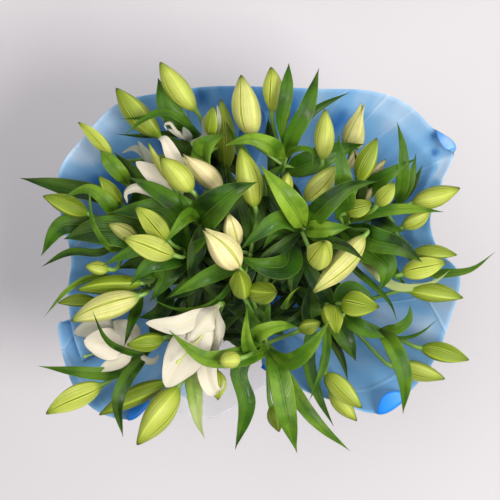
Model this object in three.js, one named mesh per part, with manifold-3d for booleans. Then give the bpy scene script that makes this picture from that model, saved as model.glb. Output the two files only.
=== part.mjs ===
// A wrapped bunch of white lilies, mostly still in bud, standing in a plain ceramic vase.
// Units are millimetres, +Z is up, and the origin is the centre of the vase's foot.
//
// The heads, leaves and wrap are laid out by the view from straight above. A place is written
// as [u, v, z]: u and v are picture coordinates of a 500 x 500 view, u to the right and v
// downwards, and z is the real height. at() turns such a place into a point in millimetres.

import * as THREE from 'three';
import { mergeVertices } from 'three/addons/utils/BufferGeometryUtils.js';
import ManifoldModule from 'manifold-3d';

const wasm = await ManifoldModule();
wasm.setup();

// ---------- the view from above ----------
const VIEW_HEIGHT = 2100;
const VIEW_X = -10;
const VIEW_Y = 25;
const VIEW_CENTRE = 250;
const VIEW_SPREAD = 0.00096;

// ---------- vase and water ----------
const VASE_HEIGHT = 255;
const VASE_WALL = 5;
const VASE_FLOOR = 8;
const VASE_SIDES = 28;
const VASE_OUTLINE = [[0, 56], [40, 64], [125, 73], [205, 63], [255, 68]];
const VASE_RINGS = 5;
const WATER_RINGS = 3;
const CONTACT_GAP = 0.3;

// ---------- bundle of stems ----------
const STEM_RADIUS = 3.6;
const STEM_TOP_RADIUS = 2.9;
const STEM_SIDES = 6;
const FOOT_RING = 41;
const WAIST_RING = 23;
const WAIST_HEIGHT = 289;
const WAIST_RISE = 72;
const WAIST_PINCH = 2;
const BUNDLE_TWIST = THREE.MathUtils.degToRad(-65);
const PEDICEL_RADIUS = 2.1;
const PEDICEL_SIDES = 4;
const PEDICEL_STEPS = 4;
const PEDICEL_START = 0.96;
const PEDICEL_STRAIGHT = 14;
const PEDICEL_RISE = 4;
const JOIN_DEPTH = 2;

// ---------- wrap and tie ----------
const FILM_THICKNESS = 0.8;
const FILM_NECK = 27.6;
const FILM_START = 283;
const FILM_LEAVE = 295;
const FILM_LAYER = FILM_THICKNESS + 0.5;
const FILM_STEPS = 5;
const FILM_COLUMN = 58;
const FILM_PLEATS = 9;
const FILM_PLEAT_DEPTH = 5;
const FILM_BOWL = 1.12;
const TIE_WIDTH = 12;
const TIE_THICKNESS = 1.5;
const TIE_SIDES = 24;

// ---------- leaves, buds and petals ----------
const LEAF_THICKNESS = 1.4;
const LEAF_FOLD = 0.14;
const LEAF_STEP = 26;
const BLADE_REACH = 0.3;
const PETAL_THICKNESS = 1.6;
const PETAL_CUP = 0.2;
const PETAL_STEPS = 7;
const THROAT_LENGTH = 9;
const THROAT_RADIUS = 3;
const THROAT_SIDES = 8;
const PETAL_START = 5;
const HALVINGS = 24;

// Every stem: its number and the place where its head branches.
const STEMS = [
  [1, [199, 220, 600]],
  [2, [286, 157, 590]],
  [3, [305, 228, 620]],
  [4, [268, 350, 560]],
  [5, [185, 253, 565]],
  [6, [350, 222, 565]],
  [7, [145, 352, 540]],
  [8, [381, 330, 535]],
  [9, [142, 290, 540]],
  [10, [398, 207, 530]],
  [11, [204, 136, 555]],
  [12, [344, 315, 565]],
  [13, [250, 255, 590]],
  [14, [118, 222, 520]],
  [15, [205, 345, 515]],
];

// Large buds, each a piece of its own: stem, tip, base, width in mm.
const BUDS = [
  [11, [160, 62, 590], [196, 111, 575], 34],
  [11, [116, 88, 570], [160, 137, 555], 36],
  [14, [43, 196, 560], [88, 214, 545], 29],
  [5, [135, 207, 625], [168, 240, 600], 32],
  [5, [123, 238, 650], [174, 255, 625], 35],
  [1, [160, 158, 665], [192, 191, 645], 35],
  [1, [185, 157, 625], [222, 188, 605], 32],
  [11, [218, 100, 590], [223, 170, 550], 27],
  [2, [241, 75, 620], [253, 137, 600], 42],
  [2, [271, 67, 620], [272, 113, 600], 29],
  [13, [240, 147, 645], [255, 207, 625], 36],
  [2, [325, 109, 625], [322, 160, 605], 29],
  [6, [362, 109, 575], [350, 142, 560], 30],
  [6, [377, 138, 625], [359, 182, 605], 29],
  [3, [337, 165, 625], [305, 200, 605], 30],
  [10, [460, 188, 565], [412, 203, 550], 32],
  [3, [324, 241, 700], [318, 262, 640], 36],
  [6, [314, 291, 640], [364, 236, 610], 29],
  [10, [457, 255, 550], [413, 252, 540], 22],
  [10, [446, 262, 590], [402, 274, 575], 32],
  [12, [463, 298, 560], [409, 291, 550], 29],
  [12, [379, 307, 635], [343, 304, 600], 37],
  [12, [337, 335, 640], [328, 308, 590], 29],
  [8, [469, 360, 550], [421, 348, 540], 29],
  [12, [445, 379, 535], [394, 366, 525], 29],
  [12, [362, 408, 560], [326, 373, 545], 30],
  [15, [137, 445, 560], [178, 387, 545], 43],
  [15, [99, 415, 530], [167, 382, 520], 30],
  [7, [46, 414, 560], [102, 385, 550], 35],
  [9, [71, 321, 610], [139, 296, 590], 38],
  [9, [77, 290, 575], [142, 283, 560], 29],
  [7, [127, 345, 620], [164, 338, 600], 26],
  [4, [238, 270, 690], [243, 297, 640], 31],
  [4, [277, 292, 690], [254, 292, 635], 31],
  [13, [206, 232, 698], [239, 268, 668], 40],
];

// Small unripe buds, grown together with their stem: stem, tip, base, width in mm.
const SMALL_BUDS = [
  [11, [88, 131, 560], [112, 156, 550], 17],
  [5, [108, 224, 590], [138, 240, 580], 23],
  [11, [212, 106, 630], [212, 135, 600], 24],
  [2, [287, 100, 600], [285, 123, 592], 12],
  [6, [386, 159, 585], [366, 180, 575], 14],
  [3, [288, 172, 665], [283, 199, 645], 20],
  [6, [394, 182, 630], [377, 205, 610], 23],
  [6, [366, 202, 600], [346, 212, 590], 18],
  [10, [430, 214, 545], [404, 227, 535], 19],
  [4, [321, 322, 600], [299, 331, 590], 22],
  [12, [357, 421, 530], [330, 388, 520], 26],
  [4, [279, 432, 550], [271, 406, 535], 23],
  [15, [218, 400, 570], [216, 370, 555], 26],
  [9, [58, 303, 555], [96, 300, 545], 19],
  [14, [85, 266, 575], [109, 269, 565], 20],
  [14, [99, 176, 590], [122, 204, 560], 22],
  [4, [221, 362, 600], [242, 357, 590], 24],
  [13, [228, 213, 655], [238, 245, 625], 26],
];

// Leaves: stem, height where it leaves the stem, width in mm, roll in degrees, then the
// places that its midrib passes, ending at the tip.
const LEAVES = [
  [11, 540, 22, 0, [[176, 114, 560], [160, 78, 570]]],
  [11, 555, 12, 0, [[165, 112, 600], [148, 117, 605], [123, 136, 590]]],
  [11, 550, 9, 0, [[160, 114, 580], [140, 118, 588], [119, 119, 582]]],
  [11, 545, 9, 0, [[170, 134, 540], [145, 136, 540], [115, 134, 535]]],
  [11, 553, 28, 0, [[201, 160, 589], [216, 132, 636]]],
  [2, 590, 17, 0, [[268, 142, 640], [250, 138, 655], [223, 146, 650]]],
  [2, 588, 17, 0, [[281, 120, 620], [284, 95, 635], [290, 63, 630]]],
  [2, 586, 26, 0, [[291, 135, 610], [303, 105, 625], [319, 68, 610]]],
  [2, 580, 14, 0, [[297, 132, 590], [303, 110, 590]]],
  [2, 590, 9, 0, [[298, 149, 625], [311, 150, 625], [313, 168, 610]]],
  [2, 565, 13, 0, [[305, 120, 560], [322, 106, 560], [350, 92, 565]]],
  [2, 560, 23, 0, [[310, 166, 565], [340, 150, 560]]],
  [6, 550, 23, 0, [[344, 188, 640], [341, 160, 655], [338, 133, 645]]],
  [10, 530, 16, 0, [[401, 180, 590], [400, 150, 605], [396, 120, 595]]],
  [10, 528, 17, 0, [[406, 188, 565], [413, 170, 575], [416, 153, 575]]],
  [6, 560, 17, 0, [[365, 192, 575], [392, 172, 600], [417, 158, 605]]],
  [10, 520, 14, 0, [[412, 186, 540], [423, 164, 545]]],
  [3, 620, 32, 0, [[325, 205, 665], [350, 187, 675], [378, 181, 660]]],
  [3, 618, 34, 0, [[292, 205, 670], [275, 183, 685], [260, 165, 685]]],
  [3, 612, 26, 0, [[326, 229, 650], [351, 227, 650]]],
  [3, 590, 8, 60, [[286, 228, 620], [270, 203, 640]]],
  [3, 605, 26, 0, [[279, 222, 650], [260, 233, 655], [241, 249, 650]]],
  [3, 570, 15, 0, [[276, 232, 600], [262, 250, 610]]],
  [3, 540, 38, 0, [[284, 266, 600], [262, 265, 625], [237, 256, 635]]],
  [3, 530, 14, 0, [[284, 270, 590], [270, 286, 600]]],
  [1, 600, 54, 0, [[212, 207, 650], [232, 191, 670], [257, 182, 665]]],
  [1, 595, 23, 0, [[178, 205, 620], [155, 190, 625], [129, 177, 610]]],
  [1, 598, 20, 0, [[190, 206, 625], [178, 192, 635]]],
  [1, 590, 17, 0, [[187, 217, 650], [175, 230, 670], [164, 244, 665]]],
  [5, 565, 15, 0, [[198, 245, 600], [210, 234, 610]]],
  [5, 555, 15, 0, [[182, 224, 585], [174, 205, 590]]],
  [13, 560, 23, 0, [[228, 268, 600], [200, 280, 620], [168, 298, 610]]],
  [9, 535, 20, 0, [[148, 268, 600], [132, 283, 615]]],
  [14, 520, 30, 0, [[105, 243, 545], [65, 237, 545]]],
  [14, 518, 17, 0, [[120, 254, 590], [98, 266, 600]]],
  [14, 500, 10, 0, [[102, 252, 530], [70, 252, 540], [42, 267, 530]]],
  [9, 530, 11, 0, [[96, 277, 540], [69, 289, 560], [44, 317, 545]]],
  [7, 540, 11, 0, [[139, 354, 572], [120, 348, 610], [104, 336, 650], [92, 310, 660]]],
  [9, 540, 17, 0, [[138, 306, 555], [130, 328, 600], [124, 347, 600]]],
  [7, 520, 21, 0, [[131, 365, 532], [110, 373, 548], [75, 371, 556], [38, 366, 548]]],
  [7, 538, 19, 0, [[140, 362, 560], [127, 378, 580], [118, 402, 590], [123, 437, 565]]],
  [4, 560, 29, 0, [[240, 356, 620], [204, 357, 655], [185, 345, 670], [169, 330, 670]]],
  [4, 555, 20, 0, [[251, 352, 610], [246, 335, 650], [247, 306, 670]]],
  [4, 560, 25, 0, [[256, 335, 620], [278, 326, 640], [299, 327, 615]]],
  [4, 558, 23, 0, [[290, 361, 600], [310, 347, 625], [330, 320, 640]]],
  [4, 556, 37, 0, [[279, 375, 590], [287, 415, 590], [297, 453, 565]]],
  [4, 545, 22, 0, [[239, 369, 560], [247, 402, 560], [235, 450, 530]]],
  [4, 550, 20, 0, [[252, 357, 585], [231, 368, 575]]],
  [4, 530, 23, 0, [[290, 385, 540], [315, 420, 545], [350, 451, 525]]],
  [12, 560, 26, 0, [[350, 291, 580], [374, 299, 580]]],
  [12, 510, 32, 0, [[312, 318, 530], [311, 280, 560]]],
  [12, 500, 15, 0, [[332, 338, 520], [343, 362, 520], [348, 382, 505]]],
  [12, 520, 32, 0, [[341, 330, 540], [350, 348, 540], [356, 361, 530]]],
  [12, 560, 23, 0, [[362, 328, 580], [386, 338, 570]]],
  [12, 500, 20, 0, [[309, 362, 510], [318, 395, 515], [334, 427, 500]]],
  [12, 530, 13, 0, [[325, 360, 570], [317, 383, 575], [309, 401, 560]]],
  [15, 500, 26, 0, [[193, 368, 520], [195, 395, 530], [199, 424, 520], [205, 439, 510]]],
  [8, 535, 17, 0, [[398, 328, 555], [409, 318, 560], [410, 304, 560]]],
  [8, 533, 26, 0, [[392, 345, 580], [404, 375, 590], [403, 414, 565]]],
  [8, 525, 6, 0, [[400, 338, 530], [420, 333, 540], [438, 319, 545]]],
  [6, 540, 11, 0, [[352, 266, 550], [372, 284, 555], [390, 303, 555], [397, 321, 545]]],
  [6, 560, 17, 0, [[376, 212, 600], [410, 209, 610], [444, 212, 595]]],
  [6, 555, 37, 0, [[376, 241, 600], [400, 247, 615], [422, 262, 600]]],
  [6, 540, 36, 0, [[369, 256, 565], [380, 270, 580], [382, 290, 565]]],
  [6, 535, 28, 0, [[370, 254, 550], [388, 266, 546], [407, 287, 540]]],
  [10, 510, 17, 0, [[430, 272, 530], [448, 273, 540], [472, 269, 550], [495, 252, 560]]],
  [14, 520, 28, 0, [[105, 198, 530], [65, 187, 535], [20, 178, 525]]],
  [14, 522, 14, 0, [[110, 206, 575], [90, 189, 585], [63, 197, 575]]],
  [14, 505, 7, 0, [[114, 250, 560], [93, 222, 605], [89, 181, 620]]],
  [14, 515, 23, 0, [[92, 224, 535], [62, 226, 545], [41, 256, 530]]],
  [14, 520, 20, 0, [[128, 216, 590], [153, 206, 600]]],
  [14, 510, 20, 0, [[118, 190, 540], [110, 165, 560], [103, 152, 565]]],
  [14, 512, 14, 0, [[130, 192, 555], [126, 172, 570], [114, 152, 575]]],
];

// Open flowers: stem, base, then each petal's width in mm and the places that its
// midrib passes, ending at the tip.
const FLOWERS = [
  [1, [186, 203, 600], [
    [20, [[160, 181, 600], [134, 163, 605]]],
    [17, [[157, 191, 600], [136, 188, 605], [124, 199, 595]]],
    [20, [[178, 165, 600], [162, 137, 595]]],
    [17, [[155, 168, 580], [137, 141, 585]]],
    [16, [[168, 175, 575], [143, 150, 570], [121, 152, 565]]],
  ]],
  [15, [221, 304, 600], [
    [38, [[188, 317, 635], [146, 323, 640]]],
    [48, [[195, 343, 625], [166, 387, 615]]],
    [34, [[212, 345, 610], [207, 384, 590]]],
    [24, [[219, 328, 610], [219, 347, 600]]],
    [40, [[200, 322, 640], [172, 334, 645]]],
  ]],
  [7, [137, 348, 548], [
    [34, [[105, 333, 540], [72, 334, 540]]],
    [38, [[113, 343, 562], [84, 340, 570]]],
    [20, [[120, 355, 556], [98, 363, 552]]],
  ]],
  [11, [194, 144, 574], [
    [20, [[180, 133, 574], [165, 126, 572]]],
    [18, [[186, 132, 590], [184, 120, 585]]],
  ]],
];

// Wrap sheets: name, layer outwards, then the places along its upper edge, clockwise in the
// view from above. The first sheet covers the most, and the pale one closes the gap.
const SHEETS = [
  ['wrap_sheet_main', 0, [
    [262, 366, 480], [303, 389, 500], [340, 402, 505], [376, 413, 505], [402, 398, 505],
    [430, 365, 505], [446, 330, 510], [460, 290, 510], [446, 255, 500], [438, 225, 500],
    [441, 184, 510], [454, 150, 520], [436, 132, 515], [405, 104, 505], [370, 92, 500],
    [318, 89, 500], [265, 88, 500], [205, 87, 500], [157, 94, 505], [118, 105, 505],
    [88, 133, 505], [60, 170, 510], [62, 215, 505], [72, 257, 500], [68, 293, 500],
    [73, 330, 500], [84, 362, 490],
  ]],
  ['wrap_sheet_left', 1, [
    [68, 290, 480], [59, 323, 490], [67, 363, 490], [76, 387, 490], [99, 411, 490],
    [129, 418, 485], [150, 401, 475], [168, 385, 465],
  ]],
  ['wrap_sheet_pale', 2, [
    [118, 392, 455], [150, 404, 458], [180, 411, 460], [205, 416, 462], [236, 404, 460],
    [262, 385, 458], [292, 372, 452],
  ]],
];

function material(color, roughness, metalness = 0) {
  return new THREE.MeshStandardMaterial({ color, roughness, metalness });
}

const ceramic = material(0xf1efe9, 0.22);
const waterClear = material(0xc9dde0, 0.05);
const filmBlue = material(0x7aa9dc, 0.5);
const filmPale = material(0xdcdce8, 0.5);
const ribbonWhite = material(0xf0eef0, 0.45);
const leafGreen = material(0x3f6f1e, 0.45);
const budGreen = material(0xc4cf6a, 0.5);
const petalWhite = material(0xf0e9da, 0.55);

function at([u, v, z]) {
  const scale = (VIEW_HEIGHT - z) * VIEW_SPREAD;
  return new THREE.Vector3(VIEW_X + (u - VIEW_CENTRE) * scale, VIEW_Y + (VIEW_CENTRE - v) * scale, z);
}

// A solid skinned over equal rings with an even count of points. The faces of a ring's two
// halves are cut along matching diagonals, so that the two sides of a thin wall stay parallel.
// Each end is closed by a ladder of faces between the two halves.
function skin(rings) {
  const count = rings[0].length;
  const positions = [];
  const index = [];
  for (const ring of rings) {
    for (const point of ring) {
      positions.push(point.x, point.y, point.z);
    }
  }
  for (let i = 0; i < rings.length - 1; i += 1) {
    for (let j = 0; j < count; j += 1) {
      const a = i * count + j;
      const b = i * count + (j + 1) % count;
      if (j < count / 2) {
        index.push(a, b, b + count, a, b + count, a + count);
      } else {
        index.push(a, b, a + count, b, b + count, a + count);
      }
    }
  }
  const last = (rings.length - 1) * count;
  for (let j = 0; j < count / 2 - 1; j += 1) {
    const [a, b, c, d] = [j, j + 1, count - 2 - j, count - 1 - j];
    index.push(a, c, b, a, d, c);
    index.push(last + a, last + b, last + c, last + a, last + c, last + d);
  }
  const geometry = new THREE.BufferGeometry();
  geometry.setAttribute('position', new THREE.Float32BufferAttribute(positions, 3));
  geometry.setIndex(index);
  return outward(geometry);
}

// Turns the faces round where the solid's signed volume is negative.
function outward(geometry) {
  const position = geometry.attributes.position;
  const index = geometry.index.array;
  const [a, b, c] = [new THREE.Vector3(), new THREE.Vector3(), new THREE.Vector3()];
  let volume = 0;
  for (let i = 0; i < index.length; i += 3) {
    a.fromBufferAttribute(position, index[i]);
    b.fromBufferAttribute(position, index[i + 1]);
    c.fromBufferAttribute(position, index[i + 2]);
    volume += a.dot(b.cross(c));
  }
  if (volume < 0) {
    for (let i = 0; i < index.length; i += 3) {
      [index[i], index[i + 1]] = [index[i + 1], index[i]];
    }
  }
  return geometry;
}

// Rings of a round section whose radius follows radiusAt(t) along the curve.
function roundRings(curve, radiusAt, sides, steps) {
  const frames = curve.computeFrenetFrames(steps, false);
  const rings = [];
  for (let i = 0; i <= steps; i += 1) {
    const centre = curve.getPointAt(i / steps);
    const radius = radiusAt(i / steps);
    const ring = [];
    for (let j = 0; j < sides; j += 1) {
      const angle = (j / sides) * 2 * Math.PI;
      ring.push(centre.clone()
        .addScaledVector(frames.normals[i], radius * Math.cos(angle))
        .addScaledVector(frames.binormals[i], radius * Math.sin(angle)));
    }
    rings.push(ring);
  }
  return rings;
}

// The level direction across a blade at a share of its length. It follows a stretch of the
// curve on both sides, so that it turns gently from one section to the next.
function across(curve, t) {
  const from = curve.getPointAt(Math.max(0, t - BLADE_REACH));
  const to = curve.getPointAt(Math.min(1, t + BLADE_REACH));
  return new THREE.Vector3(to.y - from.y, from.x - to.x, 0).normalize();
}

// A thin lens-shaped blade along a curve: a leaf or a petal. The width runs level, turned
// about the midrib by roll, and the edges stand above the midrib by fold times the width.
function blade(curve, shape) {
  const { width, outline, fold, thickness, roll = 0, steps } = shape;
  const rings = [];
  for (let i = 0; i <= steps; i += 1) {
    const t = i / steps;
    const centre = curve.getPointAt(t);
    const along = curve.getTangentAt(t);
    const side = across(curve, t).applyAxisAngle(along, THREE.MathUtils.degToRad(roll));
    const normal = new THREE.Vector3().crossVectors(side, along).normalize();
    const half = Math.max((width / 2) * outline(t), 0.6);
    const thick = thickness / 2;
    const lift = fold * 2 * half;
    rings.push([
      centre.clone().addScaledVector(side, half).addScaledVector(normal, lift),
      centre.clone().addScaledVector(normal, thick),
      centre.clone().addScaledVector(side, -half).addScaledVector(normal, lift),
      centre.clone().addScaledVector(normal, -thick),
    ]);
  }
  return skin(rings);
}

function rootedCurve(root, places) {
  return new THREE.CatmullRomCurve3([root, ...places.map(at)], false, 'centripetal');
}

function leafOutline(t) {
  return Math.max(0.16, Math.sin(Math.PI * t ** 0.85) ** 0.9) * (t > 0.97 ? 0.2 : 1);
}

function petalOutline(t) {
  return Math.max(0.14, Math.sin(Math.PI * Math.min(t ** 0.9, 0.97)) ** 0.7);
}

// A bud stands on a narrow base, swells near its lower third and closes to a blunt point.
const BUD_OUTLINE = [[0, 0.2], [0.12, 0.62], [0.34, 0.97], [0.58, 0.96], [0.83, 0.6], [1, 0.1]];
const BUD_SIDES = 6;

function bud(base, tip, width) {
  const along = tip.clone().sub(base);
  const side = new THREE.Vector3(-along.y, along.x, 0).normalize();
  const normal = new THREE.Vector3().crossVectors(along, side).normalize();
  const rings = BUD_OUTLINE.map(([t, fraction]) => {
    const ring = [];
    for (let j = 0; j < BUD_SIDES; j += 1) {
      const angle = (j / BUD_SIDES) * 2 * Math.PI;
      ring.push(base.clone().addScaledVector(along, t)
        .addScaledVector(side, (width / 2) * fraction * Math.cos(angle))
        .addScaledVector(normal, (width / 2) * fraction * Math.sin(angle)));
    }
    return ring;
  });
  return skin(rings);
}

// The share of a rising function's range where it reaches the target, found by halving.
function whereReached(rising, target) {
  let low = 0;
  let high = 1;
  for (let i = 0; i < HALVINGS; i += 1) {
    const half = (low + high) / 2;
    if (rising(half) < target) {
      low = half;
    } else {
      high = half;
    }
  }
  return low;
}

function solid(geometry) {
  const bare = geometry.clone();
  bare.deleteAttribute('normal');
  bare.deleteAttribute('uv');
  const merged = mergeVertices(bare, 1e-4);
  const triangles = [];
  const index = merged.index.array;
  for (let i = 0; i < index.length; i += 3) {
    const [a, b, c] = [index[i], index[i + 1], index[i + 2]];
    if (a !== b && b !== c && c !== a) {
      triangles.push(a, b, c);
    }
  }
  return new wasm.Manifold(new wasm.Mesh({
    numProp: 3,
    vertProperties: new Float32Array(merged.attributes.position.array),
    triVerts: new Uint32Array(triangles),
  }));
}

function geometryOf(manifold) {
  const mesh = manifold.getMesh();
  const geometry = new THREE.BufferGeometry();
  geometry.setAttribute('position', new THREE.Float32BufferAttribute(mesh.vertProperties, 3));
  geometry.setIndex([...mesh.triVerts]);
  return geometry;
}

function joined(geometries) {
  let whole = solid(geometries[0]);
  for (const geometry of geometries.slice(1)) {
    whole = whole.add(solid(geometry));
  }
  return geometryOf(whole);
}

// ---------- stems ----------
// The stems keep their order round the bundle: each has a slot on the ring at the waist,
// and below it they turn together and spread to a ring on the vase floor.
function ringPoint(radius, angle, z) {
  return new THREE.Vector3(radius * Math.cos(angle), radius * Math.sin(angle), z);
}

function levelRing(centre, radius) {
  return Array.from({ length: STEM_SIDES }, (_, j) => {
    const angle = (j / STEM_SIDES) * 2 * Math.PI;
    return ringPoint(radius, angle, 0).add(centre);
  });
}

function stemCurves() {
  const order = STEMS.map(([number, top]) => ({ number, top: at(top) }));
  order.sort((a, b) => Math.atan2(a.top.y, a.top.x) - Math.atan2(b.top.y, b.top.x));
  const step = (2 * Math.PI) / order.length;
  const curves = new Map();
  order.forEach(({ number, top }, slot) => {
    const angle = -Math.PI + (slot + 0.5) * step;
    const foot = ringPoint(FOOT_RING, angle + BUNDLE_TWIST, VASE_FLOOR + CONTACT_GAP);
    const waist = ringPoint(WAIST_RING, angle, WAIST_HEIGHT);
    const bend = ringPoint(WAIST_RING - WAIST_PINCH, angle, WAIST_HEIGHT + WAIST_RISE);
    curves.set(number, {
      lower: new THREE.LineCurve3(foot, waist),
      upper: new THREE.QuadraticBezierCurve3(waist, bend, top),
    });
  });
  return curves;
}

const curves = stemCurves();

function stemTube(number) {
  const { lower, upper } = curves.get(number);
  const low = [lower.getPoint(0), lower.getPoint(1)];
  const places = [...low, ...heights(0.2, 1, 4).map((t) => upper.getPoint(t))];
  return skin(places.map((centre, i) => {
    const t = i / (places.length - 1);
    return levelRing(centre, THREE.MathUtils.lerp(STEM_RADIUS, STEM_TOP_RADIUS, t));
  }));
}

// The point of a stem's upper part at a given height.
function onStem(number, z) {
  const { upper } = curves.get(number);
  return upper.getPoint(whereReached((t) => upper.getPoint(t).z, z));
}

// A flower stalk leaves the head of its stem and meets the bud in line with the bud's axis.
function pedicel(number, base, tip, reach) {
  const { upper } = curves.get(number);
  const start = upper.getPoint(PEDICEL_START);
  const along = tip.clone().sub(base).normalize();
  const end = base.clone().addScaledVector(along, reach);
  const before = base.clone().addScaledVector(along, -PEDICEL_STRAIGHT);
  const between = start.clone().lerp(before, 0.5);
  between.z += PEDICEL_RISE;
  const curve = new THREE.CatmullRomCurve3([start, between, before, end]);
  return skin(roundRings(curve, () => PEDICEL_RADIUS, PEDICEL_SIDES, PEDICEL_STEPS));
}

function leaf([number, height, width, roll, places]) {
  const curve = rootedCurve(onStem(number, height - JOIN_DEPTH), places);
  const steps = THREE.MathUtils.clamp(Math.round(curve.getLength() / LEAF_STEP), 3, 6);
  return blade(curve, {
    width, outline: leafOutline, fold: LEAF_FOLD, thickness: LEAF_THICKNESS, roll, steps,
  });
}

function stem(number) {
  const pieces = [stemTube(number)];
  for (const [owner, tip, base] of BUDS) {
    if (owner === number) {
      pieces.push(pedicel(number, at(base), at(tip), -CONTACT_GAP));
    }
  }
  for (const [owner, base, petals] of FLOWERS) {
    if (owner === number) {
      pieces.push(pedicel(number, at(base), at(petals[0][1][0]), -CONTACT_GAP));
    }
  }
  for (const [owner, tip, base, width] of SMALL_BUDS) {
    if (owner === number) {
      pieces.push(pedicel(number, at(base), at(tip), 1), bud(at(base), at(tip), width));
    }
  }
  for (const row of LEAVES) {
    if (row[0] === number) {
      pieces.push(leaf(row));
    }
  }
  return joined(pieces);
}

// ---------- open flowers ----------
// The petals grow from one short throat, which sits on the end of the stalk.
function flower([, base, petals]) {
  const foot = at(base);
  const along = at(petals[0][1][0]).sub(foot).normalize();
  const throat = new THREE.LineCurve3(foot, foot.clone().addScaledVector(along, THROAT_LENGTH));
  const pieces = [skin(roundRings(throat, (t) => THROAT_RADIUS * (1 + t), THROAT_SIDES, 2))];
  for (const [width, places] of petals) {
    pieces.push(blade(rootedCurve(foot.clone().addScaledVector(along, PETAL_START), places), {
      width, outline: petalOutline, fold: PETAL_CUP, thickness: PETAL_THICKNESS, steps: PETAL_STEPS,
    }));
  }
  return joined(pieces);
}

// ---------- vase, water, tie ----------
// A profile of radius and height, turned about the upright axis.
function turned(profile, sides) {
  return new THREE.LatheGeometry(profile, sides).rotateX(Math.PI / 2);
}

const vaseOutline = new THREE.SplineCurve(
  VASE_OUTLINE.map(([height, radius]) => new THREE.Vector2(height, radius)),
);

function vaseRadius(z) {
  return vaseOutline.getPoint(whereReached((t) => vaseOutline.getPoint(t).x, z)).y;
}

function heights(from, to, count) {
  return Array.from({ length: count + 1 }, (_, i) => from + ((to - from) * i) / count);
}

const insideHeights = heights(VASE_FLOOR, VASE_HEIGHT, VASE_RINGS);

function vase() {
  const profile = [new THREE.Vector2(0, 0)];
  for (const z of heights(0, VASE_HEIGHT, VASE_RINGS)) {
    profile.push(new THREE.Vector2(vaseRadius(z), z));
  }
  for (const z of insideHeights.toReversed()) {
    profile.push(new THREE.Vector2(vaseRadius(z) - VASE_WALL, z));
  }
  profile.push(new THREE.Vector2(0, VASE_FLOOR));
  return turned(profile, VASE_SIDES);
}

// The water fills the vase up to one of the wall's rings, with a hole round each stem.
function water() {
  const bottom = VASE_FLOOR + CONTACT_GAP;
  const level = insideHeights[WATER_RINGS];
  const profile = [new THREE.Vector2(0, bottom)];
  for (const z of [bottom, ...insideHeights.slice(1, WATER_RINGS + 1)]) {
    profile.push(new THREE.Vector2(vaseRadius(z) - VASE_WALL - CONTACT_GAP, z));
  }
  profile.push(new THREE.Vector2(0, level));
  let body = solid(turned(profile, VASE_SIDES));
  const below = -0.1;
  for (const [number] of STEMS) {
    const { lower } = curves.get(number);
    const hole = [below, 1].map((t) => levelRing(lower.getPoint(t), STEM_RADIUS + 1.5 * CONTACT_GAP));
    body = body.subtract(solid(skin(hole)));
  }
  return geometryOf(body);
}

function tie() {
  const inner = FILM_NECK + SHEETS.length * FILM_LAYER;
  const low = WAIST_HEIGHT - TIE_WIDTH / 2;
  const high = WAIST_HEIGHT + TIE_WIDTH / 2;
  const profile = [
    new THREE.Vector2(inner, low),
    new THREE.Vector2(inner + TIE_THICKNESS, low),
    new THREE.Vector2(inner + TIE_THICKNESS, high),
    new THREE.Vector2(inner, high),
    new THREE.Vector2(inner, low),
  ];
  return turned(profile, TIE_SIDES);
}

// ---------- wrap ----------
// A sheet runs from the neck of the bundle to its upper edge, in shallow pleats. Each layer
// lies a little outside and below the last.
function sheet([, layer, edge]) {
  const rim = new THREE.CatmullRomCurve3(edge.map(at), false, 'centripetal');
  const columns = Math.round(rim.getLength() / FILM_COLUMN);
  const grid = { upper: [], lower: [] };
  for (let i = 0; i <= columns; i += 1) {
    const top = rim.getPointAt(i / columns);
    const angle = Math.atan2(top.y, top.x);
    const reach = Math.hypot(top.x, top.y);
    const column = { upper: [], lower: [] };
    for (const [face, depth] of [['upper', 0], ['lower', FILM_THICKNESS]]) {
      const out = layer * FILM_LAYER + depth;
      column[face].push(ringPoint(FILM_NECK + out, angle, FILM_START));
      for (let j = 0; j <= FILM_STEPS; j += 1) {
        const s = j / FILM_STEPS;
        const radius = FILM_NECK + (reach - FILM_NECK) * s;
        const pleat = FILM_PLEAT_DEPTH * s * Math.sin(FILM_PLEATS * angle);
        const z = FILM_LEAVE + (top.z - FILM_LEAVE) * s ** FILM_BOWL + pleat;
        column[face].push(ringPoint(radius + out, angle, z - out * s));
      }
    }
    grid.upper.push(column.upper);
    grid.lower.push(column.lower);
  }
  return skin(grid.upper.map((column, i) => [...column, ...grid.lower[i].slice().reverse()]));
}

// ---------- the whole ----------
const whole = new THREE.Group();

function place(name, geometry, look) {
  const mesh = new THREE.Mesh(geometry, look);
  mesh.name = name;
  whole.add(mesh);
}

function numbered(name, number) {
  return `${name}_${String(number).padStart(2, '0')}`;
}

place('vase', vase(), ceramic);
place('water', water(), waterClear);
place('tie_ribbon', tie(), ribbonWhite);
for (const row of SHEETS) {
  place(row[0], sheet(row), row[1] === 2 ? filmPale : filmBlue);
}
for (const [number] of STEMS) {
  place(numbered('lily_stem', number), stem(number), leafGreen);
}
BUDS.forEach(([, tip, base, width], i) => {
  place(numbered('lily_bud', i + 1), bud(at(base), at(tip), width), budGreen);
});
FLOWERS.forEach((row, i) => {
  place(numbered('lily_flower', i + 1), flower(row), petalWhite);
});

export default whole;
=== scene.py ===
# %% [markdown]
# # Lilies in a vase
# A bunch of white lilies stands in a plain ceramic vase. Nearly all of the flowers are still
# in bud, and the bunch is wrapped in sheets of frosted blue film. This lesson rebuilds it
# piece by piece around a imported CAD model, which fixes where every part of it is.
#
# The first cell loads that model. What is made here has to stay inside it.

# %% Load the imported model
import math
import random

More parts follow.
